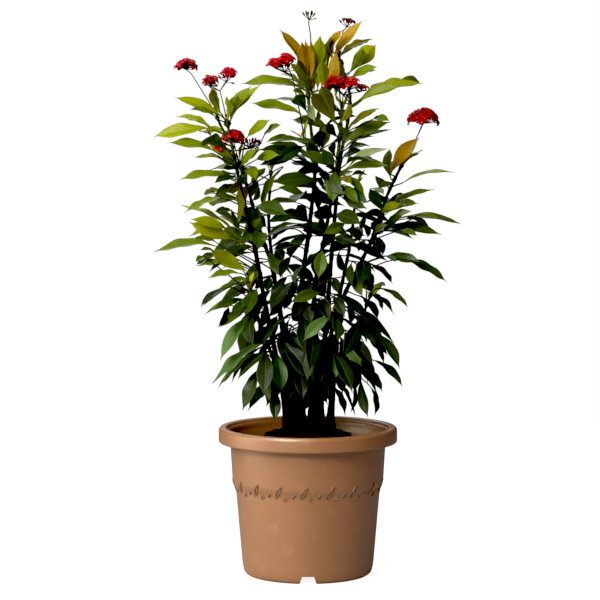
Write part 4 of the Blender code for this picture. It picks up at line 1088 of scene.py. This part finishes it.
# Patches of noise between two limits
def patchGroup():
    group, start, end = makeGroup(
        "patches",
        [("Scale", "NodeSocketFloat", 40.0), ("Detail", "NodeSocketFloat", 4.0),
         ("Low", "NodeSocketFloat", 0.4), ("High", "NodeSocketFloat", 0.6)],
        [("Mask", "NodeSocketFloat")],
    )
    where = group.nodes.new("ShaderNodeTexCoord")
    texture = group.nodes.new("ShaderNodeTexNoise")
    spread = group.nodes.new("ShaderNodeMapRange")
    spread.interpolation_type = "SMOOTHSTEP"
    link = group.links.new
    link(where.outputs["Object"], texture.inputs["Vector"])
    link(start.outputs["Scale"], texture.inputs["Scale"])
    link(start.outputs["Detail"], texture.inputs["Detail"])
    link(texture.outputs["Fac"], spread.inputs["Value"])
    link(start.outputs["Low"], spread.inputs["From Min"])
    link(start.outputs["High"], spread.inputs["From Max"])
    link(spread.outputs["Result"], end.inputs["Mask"])
    return group


# A leaf's or petal's midrib, side veins and margin, from its place: across from -1 to 1, along from 0 to 1
def veinGroup():
    group, start, end = makeGroup(
        "veins",
        [("Place", "NodeSocketVector", None), ("Side Veins", "NodeSocketFloat", 11.0),
         ("Slant", "NodeSocketFloat", 0.55), ("Width", "NodeSocketFloat", 0.16)],
        [("Midrib", "NodeSocketFloat"), ("Veins", "NodeSocketFloat"), ("Margin", "NodeSocketFloat"),
         ("Height", "NodeSocketFloat")],
    )
    split = group.nodes.new("ShaderNodeSeparateXYZ")
    group.links.new(start.outputs["Place"], split.inputs[0])
    aside = mathNode(group, "ABSOLUTE", split.outputs["X"])
    along = split.outputs["Y"]
    midrib = mathNode(group, "SUBTRACT", 1.0, mathNode(group, "MULTIPLY", aside, 14.0), True)
    curved = mathNode(group, "POWER", aside, 1.25)
    slanted = mathNode(group, "SUBTRACT", along, mathNode(group, "MULTIPLY", curved, mathNode(
        group, "DIVIDE", start.outputs["Slant"], 4.0)))
    phase = mathNode(group, "FRACT", mathNode(group, "MULTIPLY", slanted, start.outputs["Side Veins"]))
    away = mathNode(group, "ABSOLUTE", mathNode(group, "SUBTRACT", phase, 0.5))
    vein = mathNode(group, "SUBTRACT", 1.0, mathNode(group, "DIVIDE", away, start.outputs["Width"]), True)
    fade = mathNode(group, "SUBTRACT", 1.0, mathNode(group, "POWER", aside, 3.0), True)
    vein = mathNode(group, "MULTIPLY", vein, fade)
    margin = mathNode(group, "MULTIPLY", mathNode(group, "SUBTRACT", aside, 0.93), 20.0, True)
    quilt = mathNode(group, "MULTIPLY", away, fade)
    height = mathNode(group, "SUBTRACT", quilt, midrib)
    for label, value in (("Midrib", midrib), ("Veins", vein), ("Margin", margin), ("Height", height)):
        group.links.new(value, end.inputs[label])
    return group


groups = {"patches": patchGroup(), "veins": veinGroup()}


def newMaterial(name, roughness):
    material = bpy.data.materials.new(name)
    material.use_nodes = True
    shader = material.node_tree.nodes["Principled BSDF"]
    shader.inputs["Roughness"].default_value = roughness
    return material, material.node_tree, shader


def groupNode(tree, name, **values):
    node = tree.nodes.new("ShaderNodeGroup")
    node.node_tree = groups[name]
    for label, value in values.items():
        node.inputs[label.replace("_", " ")].default_value = value
    return node


def attribute(tree, name):
    node = tree.nodes.new("ShaderNodeAttribute")
    node.attribute_name = name
    return node


def mixColour(tree, first, second, factor, mode="MIX"):
    node = tree.nodes.new("ShaderNodeMix")
    node.data_type = "RGBA"
    node.blend_type = mode
    for socket, value in ((node.inputs[6], first), (node.inputs[7], second), (node.inputs[0], factor)):
        if isinstance(value, bpy.types.NodeSocket):
            tree.links.new(value, socket)
        elif isinstance(value, (int, float)):
            socket.default_value = value
        else:
            socket.default_value = (*value, 1.0)
    return node.outputs[2]


def addBump(tree, shader, height, strength, distance):
    bump = tree.nodes.new("ShaderNodeBump")
    bump.inputs["Strength"].default_value = strength
    bump.inputs["Distance"].default_value = distance
    tree.links.new(height, bump.inputs["Height"])
    tree.links.new(bump.outputs["Normal"], shader.inputs["Normal"])


def leafMaterial(name, under):
    material, tree, shader = newMaterial(name, 0.34 if not under else 0.55)
    link = tree.links.new
    veins = groupNode(tree, "veins", Side_Veins=11.0, Slant=0.9)
    link(attribute(tree, "place").outputs["Vector"], veins.inputs["Place"])
    tint = attribute(tree, "tint").outputs["Color"]
    mottle = groupNode(tree, "patches", Scale=55.0, Detail=3.0, Low=0.35, High=0.65).outputs["Mask"]
    colour = mixColour(tree, tint, (0.72, 0.72, 0.72), mathNode(tree, "MULTIPLY", mottle, 0.35), "MULTIPLY")
    paleVein = mixColour(tree, tint, (0.42, 0.52, 0.22), 0.24)
    colour = mixColour(tree, colour, paleVein, mathNode(tree, "MULTIPLY", veins.outputs["Midrib"], 0.8))
    colour = mixColour(tree, colour, paleVein, mathNode(tree, "MULTIPLY", veins.outputs["Veins"], 0.3))
    colour = mixColour(tree, colour, paleVein, mathNode(tree, "MULTIPLY", veins.outputs["Margin"], 0.5))
    if under:
        colour = mixColour(tree, colour, (0.26, 0.34, 0.16), 0.12)
    link(colour, shader.inputs["Base Color"])
    rough = mathNode(tree, "ADD", mathNode(tree, "MULTIPLY", mottle, 0.12), 0.55 if under else 0.40)
    link(rough, shader.inputs["Roughness"])
    shader.inputs["Specular IOR Level"].default_value = 0.25 if under else 0.5
    shader.inputs["Subsurface Weight"].default_value = 0.3
    shader.inputs["Subsurface Radius"].default_value = (1.0, 1.0, 0.3)
    shader.inputs["Subsurface Scale"].default_value = 0.002
    addBump(tree, shader, veins.outputs["Height"], 0.35 if under else 0.3, 0.0012)
    return material


def barkMaterial():
    material, tree, shader = newMaterial("bark", 0.8)
    tint = attribute(tree, "tint").outputs["Color"]
    grain = groupNode(tree, "patches", Scale=260.0, Detail=6.0, Low=0.3, High=0.7).outputs["Mask"]
    spots = groupNode(tree, "patches", Scale=90.0, Detail=2.0, Low=0.6, High=0.68).outputs["Mask"]
    colour = mixColour(tree, tint, (0.45, 0.42, 0.40), mathNode(tree, "MULTIPLY", grain, 0.7), "MULTIPLY")
    colour = mixColour(tree, colour, screen(92, 84, 72), mathNode(tree, "MULTIPLY", spots, 0.12))
    tree.links.new(colour, shader.inputs["Base Color"])
    shader.inputs["Specular IOR Level"].default_value = 0.15
    addBump(tree, shader, grain, 0.5, 0.0008)
    return material


def stalkMaterial():
    material, tree, shader = newMaterial("stalks", 0.5)
    tint = attribute(tree, "tint").outputs["Color"]
    grain = groupNode(tree, "patches", Scale=400.0, Detail=3.0, Low=0.3, High=0.7).outputs["Mask"]
    colour = mixColour(tree, tint, (0.6, 0.6, 0.6), mathNode(tree, "MULTIPLY", grain, 0.4), "MULTIPLY")
    tree.links.new(colour, shader.inputs["Base Color"])
    return material


def petalMaterial():
    material, tree, shader = newMaterial("petals", 0.45)
    link = tree.links.new
    veins = groupNode(tree, "veins", Side_Veins=5.0, Slant=2.4, Width=0.3)
    link(attribute(tree, "place").outputs["Vector"], veins.inputs["Place"])
    tint = attribute(tree, "tint").outputs["Color"]
    grain = groupNode(tree, "patches", Scale=300.0, Detail=2.0, Low=0.35, High=0.65).outputs["Mask"]
    colour = mixColour(tree, tint, (0.75, 0.6, 0.6), mathNode(tree, "MULTIPLY", grain, 0.4), "MULTIPLY")
    colour = mixColour(tree, colour, (0.5, 0.3, 0.3), mathNode(tree, "MULTIPLY", veins.outputs["Veins"], 0.35), "MULTIPLY")
    link(colour, shader.inputs["Base Color"])
    shader.inputs["Sheen Weight"].default_value = 0.15
    addBump(tree, shader, veins.outputs["Height"], 0.2, 0.0006)
    return material


print("materials made")


def buildShrub():
    lines, owners, radii = planLines()
    leaves = planLeaves(lines, owners)
    draw = random.Random(leafLook["seed"])
    for part, line in lines.items():
        leaves += newLeaves(line, owners[part], part, draw)
    bark, stalks = barkMaterial(), stalkMaterial()
    leafMaterials = [leafMaterial("leafUpper", False), leafMaterial("leafUnder", True), stalks]
    for node in stems:
        own = [leaf for leaf in leaves if leaf["node"] == node]
        wood, blades = newBatch(), newBatch()
        for part in (name for name in lines if owners[name] == node):
            roots = [leaf["root"].z / mm for leaf in own if leaf["part"] == part]
            addStem(wood, lines[part], radii[part], roots, part != node, draw)
        for leaf in own:
            addLeaf(blades, leaf, draw)
        batchPiece(node + "_bark", wood, [bark], node)
        batchPiece(node + "_leaves", blades, leafMaterials, node)
        print(node, "made with", len(own), "leaves")
    bloomDraw, fineDraw = random.Random(bloomPlan["seed"]), random.Random(bloomLook["seed"])
    petals = petalMaterial()
    for name in blooms:
        makeBloom(name, lines, bloomDraw, fineDraw, [petals, stalks])
    print("blooms made")


buildShrub()


# The pot, turned again with rounded edges and many more sides
pot = {
    "height": potHigh.z,
    "rimRadius": potHigh.x,
    "rimLip": 0.016,
    "skirtDrop": 0.0295,
    "wall": 0.0035,
    "neckRadius": 0.1535,
    "stepRadius": 0.1478,
    "stepTop": 0.1830,
    "stepFoot": 0.1700,
    "stepDepth": 0.0062,
    "baseRadius": 0.1285,
    "baseCorner": 0.0180,
    "floorHeight": 0.0165,
    "notches": 4,
    "notchTop": 0.023,
    "notchFoot": 0.033,
    "notchHeight": 0.0155,
    "drainRadius": 0.006,
    "drainCircle": 0.080,
    "sides": 160,
    "arcSteps": 4,
    "colour": screen(190, 130, 84),
    "shade": screen(168, 106, 58),
    "paintedReliefShade": screen(128, 80, 36),  # darker brown, painted shade over the relief strokes
}
# The relief is a row of leaf loops, each followed by a pair of strokes and a small solid leaf
ornament = {
    "units": 18,
    "phase": -0.15,
    "height": 0.1800,
    "loopSlant": 30,
    "loopLength": 0.0245,
    "loopWidth": 0.0056,
    "loopRib": 0.0013,
    "strokes": ((0.0110, -0.0125), (0.0150, -0.0140)),
    "strokeLength": 0.0105,
    "strokeRib": 0.0013,
    "leaf": (0.0295, -0.0068),
    "leafLength": 0.0140,
    "leafRib": 0.0035,
    "leafSunk": 0.0019,
    "lineSlant": 36,
}


# Corners are radius, height and how far the rounding reaches from the corner
def roundedProfile(corners):
    steps = pot["arcSteps"]
    profile = [corners[0][:2]]
    for before, corner, after in zip(corners, corners[1:], corners[2:]):
        here = np.array(corner[:2])
        reach = corner[2]
        if reach <= 0:
            profile.append(tuple(here))
            continue
        toBefore = np.array(before[:2]) - here
        toAfter = np.array(after[:2]) - here
        start = here + toBefore * min(reach / np.linalg.norm(toBefore), 0.45)
        end = here + toAfter * min(reach / np.linalg.norm(toAfter), 0.45)
        for step in range(steps + 1):
            t = step / steps
            profile.append(tuple((1 - t) ** 2 * start + 2 * t * (1 - t) * here + t**2 * end))
    return profile + [corners[-1][:2]]


def wallCorners():
    p = pot
    return [
        (p["neckRadius"], p["height"] - 0.010, 0.002),
        (p["stepRadius"], p["stepTop"], 0.006),
        (p["stepRadius"] - p["stepDepth"], p["stepFoot"], 0.006),
        (p["baseRadius"], p["baseCorner"], 0.008),
    ]


# The wall's outer radius at a height
def outerRadius(height):
    profile = roundedProfile(wallCorners())[::-1]
    return float(np.interp(height, [z for radius, z in profile], [radius for radius, z in profile]))


def potCorners():
    p = pot
    top, foot = p["height"], p["height"] - p["skirtDrop"]
    lip, floorTop = p["rimRadius"] - p["rimLip"], p["floorHeight"] + p["wall"]
    inner = outerRadius(p["baseCorner"] + p["wall"]) - p["wall"]
    skirt = p["rimRadius"] - 0.0045
    return [
        (0.0, floorTop, 0),
        (p["baseRadius"] - p["baseCorner"], floorTop, 0.004),
        (inner, p["baseCorner"] + p["wall"], 0.004),
        (p["stepRadius"] - p["wall"] - p["stepDepth"], p["stepFoot"], 0.002),
        (p["stepRadius"] - p["wall"], p["stepTop"], 0.002),
        (p["neckRadius"] - p["wall"], foot, 0.008),
        (lip - 0.0045, top - 0.013, 0.006),
        (lip, top - 0.0016, 0.0012),
        (lip + 0.0025, top, 0.0012),
        (p["rimRadius"] - 0.0032, top, 0.002),
        (p["rimRadius"], top - 0.0045, 0.0028),
        (p["rimRadius"], foot + 0.0022, 0.0016),
        (p["rimRadius"] - 0.0024, foot, 0.0010),
        (skirt, foot + 0.0016, 0.0010),
        (skirt, top - 0.006, 0.001),
        (p["neckRadius"] + 0.0025, top - 0.006, 0.0015),
        *wallCorners(),
        (p["baseRadius"] - 0.0035, 0.0045, 0.003),
        (p["baseRadius"] - 0.0100, 0.0, 0.001),
        (p["baseRadius"] - 0.0150, 0.0, 0.001),
        (p["baseRadius"] - 0.0160, p["floorHeight"], 0.001),
        (0.0, p["floorHeight"], 0),
    ]


def linked(name, mesh):
    thing = bpy.data.objects.new(name, mesh)
    bpy.context.scene.collection.objects.link(thing)
    return thing


def applied(thing):
    graph = bpy.context.evaluated_depsgraph_get()
    mesh = bpy.data.meshes.new_from_object(thing.evaluated_get(graph))
    name = thing.name
    bpy.data.objects.remove(thing, do_unlink=True)
    return linked(name, mesh)


def notchCutter(angle):
    p = pot
    low, inner, outer = -0.005, p["baseRadius"] - 0.030, p["baseRadius"] + 0.010
    slope = (p["notchFoot"] - p["notchTop"]) / p["notchHeight"]
    bottom, top = p["notchFoot"] / 2 - low * slope / 2, p["notchTop"] / 2
    outline = [(-bottom, low), (bottom, low), (top, p["notchHeight"]), (-top, p["notchHeight"])]
    points = [(reach, side, height) for reach in (inner, outer) for side, height in outline]
    faces = [(0, 3, 2, 1), (7, 4, 5, 6), (0, 1, 5, 4), (1, 2, 6, 5), (2, 3, 7, 6), (3, 0, 4, 7)]
    mesh = bpy.data.meshes.new("notch")
    mesh.from_pydata(points, [], faces)
    cutter = linked("notch", mesh)
    cutter.rotation_euler.z = angle
    return cutter


def drainCutter(angle):
    x, y = pot["drainCircle"] * math.cos(angle), pot["drainCircle"] * math.sin(angle)
    depth = 2 * pot["floorHeight"]
    bpy.ops.mesh.primitive_cylinder_add(vertices=24, radius=pot["drainRadius"], depth=depth, location=(x, y, depth / 2))
    return bpy.context.object


def makePotBody(material):
    profile = roundedProfile(potCorners())
    mesh = bpy.data.meshes.new("pot_body")
    edges = [(i, i + 1) for i in range(len(profile) - 1)]
    mesh.from_pydata([(radius, 0.0, height) for radius, height in profile], edges, [])
    body = linked("pot_body", mesh)
    turn = body.modifiers.new("turn", "SCREW")
    turn.axis = "Z"
    turn.steps = turn.render_steps = pot["sides"]
    turn.use_merge_vertices = True
    turn.merge_threshold = 0.00001
    cutters = []
    for index in range(pot["notches"]):
        angle = -math.pi / 2 + index * 2 * math.pi / pot["notches"]
        cutters += [notchCutter(angle), drainCutter(angle + math.pi / pot["notches"])]
    for cutter in cutters:
        cut = body.modifiers.new("cut", "BOOLEAN")
        cut.operation = "DIFFERENCE"
        cut.object = cutter
    body = applied(body)
    for cutter in cutters:
        bpy.data.objects.remove(cutter, do_unlink=True)
    body.data.shade_smooth()
    body.data.set_sharp_from_angle(angle=math.radians(38))
    body.data.materials.clear()
    body.data.materials.append(material)
    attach(body, "root")
    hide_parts("pot")
    return body


# One unit of the relief, each stroke as points along and up the wall, its thickness at both ends and how
# far its middle line is sunk
def ornamentStrokes():
    o = ornament

    def leaning(slant):
        return np.array([math.sin(math.radians(slant)), math.cos(math.radians(slant))])

    lean, line = leaning(o["loopSlant"]), leaning(o["lineSlant"])
    flat = np.array([lean[1], -lean[0]])
    turns = np.linspace(0, 2 * math.pi, 33)
    loop = [lean * (-math.cos(a) * o["loopLength"] / 2) + flat * (math.sin(a) * o["loopWidth"] / 2) for a in turns]
    thick = o["loopRib"] * (1.0 + 0.6 * np.cos(turns) ** 6)
    strokes = [(loop, thick, 0.0)]
    shares = np.linspace(-0.5, 0.5, 9)
    for middle in o["strokes"]:
        points = [np.array(middle) + line * (o["strokeLength"] * share) for share in shares]
        strokes.append((points, o["strokeRib"] * (1 - 2 * shares**2), 0.0))
    points = [np.array(o["leaf"]) + line * (o["leafLength"] * share) for share in shares]
    strokes.append((points, o["leafRib"] * np.sqrt(1.02 - 4 * shares**2), o["leafSunk"]))
    return strokes


def makeOrnament(material):
    o = ornament
    batch = newBatch()
    for index in range(o["units"]):
        middle = -math.pi / 2 + (index + o["phase"]) * 2 * math.pi / o["units"]
        for stroke, radii, sunk in ornamentStrokes():
            line = []
            for along, up in stroke:
                height = o["height"] + up
                wall = outerRadius(height)
                angle = middle + along / wall
                line.append(((wall - sunk) * math.cos(angle), (wall - sunk) * math.sin(angle), height))
            points, faces = sweep(line, radii, 8)
            addShape(batch, points, faces, 0, (1, 1, 1), (0, 0, 0))
    return batchPiece("pot_ornament", batch, [material])


def potMaterial(name, paintedReliefShade):
    material, tree, shader = newMaterial(name, 0.42)
    link = tree.links.new
    cloud = groupNode(tree, "patches", Scale=9.0, Detail=5.0, Low=0.3, High=0.7).outputs["Mask"]
    speck = groupNode(tree, "patches", Scale=700.0, Detail=2.0, Low=0.35, High=0.65).outputs["Mask"]
    scuff = groupNode(tree, "patches", Scale=38.0, Detail=8.0, Low=0.56, High=0.74).outputs["Mask"]
    colour = mixColour(tree, pot["colour"], pot["shade"], mathNode(tree, "MULTIPLY", cloud, 0.30))
    colour = mixColour(tree, colour, (0.80, 0.78, 0.75), mathNode(tree, "MULTIPLY", speck, 0.16), "MULTIPLY")
    colour = mixColour(tree, colour, screen(222, 190, 150), mathNode(tree, "MULTIPLY", scuff, 0.14))
    # The relief's strokes get a darker brown: painted shade for the shaded sides of the raised strokes.
    if paintedReliefShade:
        reliefShadeShare = mathNode(tree, "ADD", mathNode(tree, "MULTIPLY", cloud, 0.3), paintedReliefShade)
        colour = mixColour(tree, colour, pot["paintedReliefShade"], reliefShadeShare)
    link(colour, shader.inputs["Base Color"])
    link(mathNode(tree, "ADD", mathNode(tree, "MULTIPLY", scuff, 0.2), 0.42), shader.inputs["Roughness"])
    shader.inputs["Specular IOR Level"].default_value = 1.0
    shader.inputs["IOR"].default_value = 1.7
    shader.inputs["Coat Weight"].default_value = 0.6
    shader.inputs["Coat Roughness"].default_value = 0.32
    addBump(tree, shader, speck, 0.12, 0.0004)
    return material


makePotBody(potMaterial("potPlastic", 0))
# The relief takes 0.7 of the darker brown, as painted shade.
makeOrnament(potMaterial("potRelief", 0.70))
print("pot made")


# The soil: a steep mound in the middle, and clods and bits of bark on it
soil = {
    "edgeHeight": 0.240,
    "moundRadius": 0.092,
    "moundHeight": 0.284,
    "rings": 70,
    "spokes": 150,
    "roughness": 0.0022,
    "foot": 0.2300,
    "clods": 620,
    "clodSize": (1.2, 4.2),
    "seed": 5,
    "dark": screen(16, 11, 9),
    "light": screen(44, 31, 24),
}


def soilHeight(radius):
    s = soil
    marks = [0.0, 0.6, 0.9, 1.02, 1.22, 1.66]
    heights = [0, -0.002, -0.009, -0.024, s["edgeHeight"] + 0.006 - s["moundHeight"], s["edgeHeight"] - s["moundHeight"]]
    return s["moundHeight"] + np.interp(radius / s["moundRadius"], marks, heights)


def makeSoil(material):
    s = soil
    edge = outerRadius(s["edgeHeight"]) - pot["wall"] - 0.0004
    points = [(0.0, 0.0, soilHeight(0.0))]
    for ring in range(1, s["rings"] + 1):
        radius = edge * (ring / s["rings"])
        for spoke in range(s["spokes"]):
            angle = 2 * math.pi * spoke / s["spokes"]
            x, y = radius * math.cos(angle), radius * math.sin(angle)
            calm = min((edge - radius) / 0.008, 1.0)
            bump = noise.fractal(Vector((x, y, 0.3)) * 95, 0.8, 2.0, 5) * s["roughness"]
            bump += noise.noise(Vector((x, y, 1.7)) * 28) * s["roughness"] * 0.9
            points.append((x, y, float(soilHeight(radius)) + bump * calm))
    rim = len(points)
    for spoke in range(s["spokes"]):
        angle = 2 * math.pi * spoke / s["spokes"]
        points.append((edge * math.cos(angle), edge * math.sin(angle), s["foot"]))
    points.append((0.0, 0.0, s["foot"]))
    count = s["spokes"]
    faces = [(0, 1 + spoke, 1 + (spoke + 1) % count) for spoke in range(count)]
    for ring in range(s["rings"]):
        for spoke in range(count):
            here, after = 1 + ring * count + spoke, 1 + ring * count + (spoke + 1) % count
            faces.append((here, here + count, after + count, after))
    last = len(points) - 1
    faces += [(rim + spoke, last, rim + (spoke + 1) % count) for spoke in range(count)]
    batch = newBatch()
    addShape(batch, points, faces, 0, s["dark"], (0, 0, 0))
    return batchPiece("soil_bed", batch, [material], "soil")


def makeClods(material):
    s = soil
    draw = random.Random(s["seed"])
    batch = newBatch()
    edge = outerRadius(s["edgeHeight"]) - pot["wall"] - 0.006
    for index in range(s["clods"]):
        radius, angle = edge * math.sqrt(draw.random()), draw.uniform(0, 2 * math.pi)
        size = draw.uniform(*s["clodSize"]) * mm * (0.6 if draw.random() < 0.6 else 1.0)
        at = np.array((radius * math.cos(angle), radius * math.sin(angle), float(soilHeight(radius)) + size * 0.2))
        turn = draw.uniform(0, 2 * math.pi)
        chip = draw.random() < 0.3
        reach = np.array((math.cos(turn), math.sin(turn), draw.uniform(-0.3, 0.3))) * size * (2.2 if chip else 1.0)
        line = [at + reach * share for share in (-0.9, -0.45, 0.0, 0.45, 0.9)]
        fat = np.array([0.45, 0.9, 1.0, 0.85, 0.4]) * size * (0.45 if chip else 1.0)
        fat = fat * np.array([draw.uniform(0.75, 1.2) for _ in range(5)])
        points, faces = sweep(line, fat, 6)
        points[:, 2] = at[2] + (points[:, 2] - at[2]) * 0.75
        tone = blend(s["dark"], s["light"], draw.random() * (1.0 if chip else 0.55))
        addShape(batch, points, faces, 0, tone, (0, 0, 0))
    return batchPiece("soil_clods", batch, [material])


def soilMaterial():
    material, tree, shader = newMaterial("potting soil", 0.9)
    tint = attribute(tree, "tint").outputs["Color"]
    crumbs = groupNode(tree, "patches", Scale=420.0, Detail=8.0, Low=0.35, High=0.65).outputs["Mask"]
    damp = groupNode(tree, "patches", Scale=22.0, Detail=3.0, Low=0.4, High=0.65).outputs["Mask"]
    colour = mixColour(tree, tint, soil["light"], mathNode(tree, "MULTIPLY", crumbs, 0.35))
    colour = mixColour(tree, colour, (0.4, 0.38, 0.36), mathNode(tree, "MULTIPLY", damp, 0.6), "MULTIPLY")
    tree.links.new(colour, shader.inputs["Base Color"])
    addBump(tree, shader, crumbs, 0.8, 0.0015)
    return material


soilDirt = soilMaterial()
makeSoil(soilDirt)
makeClods(soilDirt)
print("soil made")


# Floor, light and camera
studio = {
    "floorRadius": 3.0,
    "floorSolid": 0.55,
    "floorColour": (0.45, 0.45, 0.45),
    "skySeen": 1.0,
    "skyLight": 0.10,
    "floorGlow": 0.9,  # as the camera sees it
    "cameraPlace": (-0.01557, -5.0, 0.9613),
    "cameraTilt": 0.08427,  # radians below level
    "lens": 154.13,
    "lights": {  # place, width and height, power, colour
        "key": ((-1.90, -3.30, 2.37), (1.4, 1.4), 105, (1.0, 0.98, 0.95)),
        "sheen": ((-3.47, -0.49, 0.70), (2.8, 2.2), 42, (1.0, 0.95, 0.74)),
        "top": ((-1.6, -1.8, 3.4), (1.6, 1.6), 50, (1.0, 1.0, 0.96)),
        "fill": ((2.8, -2.4, 1.2), (2.0, 2.0), 4, (1.0, 0.42, 0.18)),
        "back": ((-0.6, 2.8, 2.6), (1.8, 1.8), 24, (1.0, 1.0, 1.0)),
    },
    "aim": Vector((0, 0, 0.6)),
    "black": 0.028,  # light under this shows black
}


def makeFloor():
    s = studio
    bpy.ops.mesh.primitive_circle_add(vertices=96, radius=s["floorRadius"], fill_type="NGON", location=(0, 0, 0))
    floor = bpy.context.object
    floor.name = "floor"
    material, tree, shader = newMaterial("floorPaper", 0.9)
    shader.inputs["Base Color"].default_value = (*s["floorColour"], 1.0)
    where = tree.nodes.new("ShaderNodeTexCoord")
    reach = tree.nodes.new("ShaderNodeVectorMath")
    reach.operation = "LENGTH"
    tree.links.new(where.outputs["Object"], reach.inputs[0])
    fade = tree.nodes.new("ShaderNodeMapRange")
    fade.interpolation_type = "SMOOTHSTEP"
    fade.inputs["From Min"].default_value = s["floorSolid"]
    fade.inputs["From Max"].default_value = s["floorRadius"]
    fade.inputs["To Min"].default_value = 1.0
    fade.inputs["To Max"].default_value = 0.0
    tree.links.new(reach.outputs["Value"], fade.inputs["Value"])
    tree.links.new(fade.outputs["Result"], shader.inputs["Alpha"])
    path = tree.nodes.new("ShaderNodeLightPath")
    glow = mathNode(tree, "MULTIPLY", path.outputs["Is Camera Ray"], s["floorGlow"])
    tree.links.new(glow, shader.inputs["Emission Strength"])
    floor.data.materials.append(material)


def makeSky():
    world = bpy.data.worlds.new("studio")
    bpy.context.scene.world = world
    world.use_nodes = True
    tree = world.node_tree
    sky = tree.nodes["Background"]
    sky.inputs["Color"].default_value = (1, 1, 1, 1)
    path = tree.nodes.new("ShaderNodeLightPath")
    seen = mathNode(tree, "MULTIPLY", path.outputs["Is Camera Ray"], studio["skySeen"] - studio["skyLight"])
    tree.links.new(mathNode(tree, "ADD", seen, studio["skyLight"]), sky.inputs["Strength"])


def makeLights():
    for name, (place, size, power, colour) in studio["lights"].items():
        data = bpy.data.lights.new(name, "AREA")
        data.shape = "RECTANGLE"
        (data.size, data.size_y), data.energy, data.color = size, power, colour
        light = bpy.data.objects.new(name, data)
        light.location = place
        light.rotation_euler = (studio["aim"] - Vector(place)).to_track_quat("-Z", "Y").to_euler()
        bpy.context.scene.collection.objects.link(light)


def makeCamera():
    data = bpy.data.cameras.new("camera")
    data.lens, data.sensor_width = studio["lens"], 36.0
    camera = bpy.data.objects.new("camera", data)
    camera.location = studio["cameraPlace"]
    camera.rotation_euler = (math.pi / 2 - studio["cameraTilt"], 0, 0)
    bpy.context.scene.collection.objects.link(camera)
    bpy.context.scene.camera = camera
    view = bpy.context.scene.view_settings
    view.view_transform = "Standard"
    view.use_curve_mapping = True
    view.curve_mapping.black_level = (studio["black"],) * 3
    view.curve_mapping.update()


makeFloor()
makeSky()
makeLights()
makeCamera()
print("studio ready")
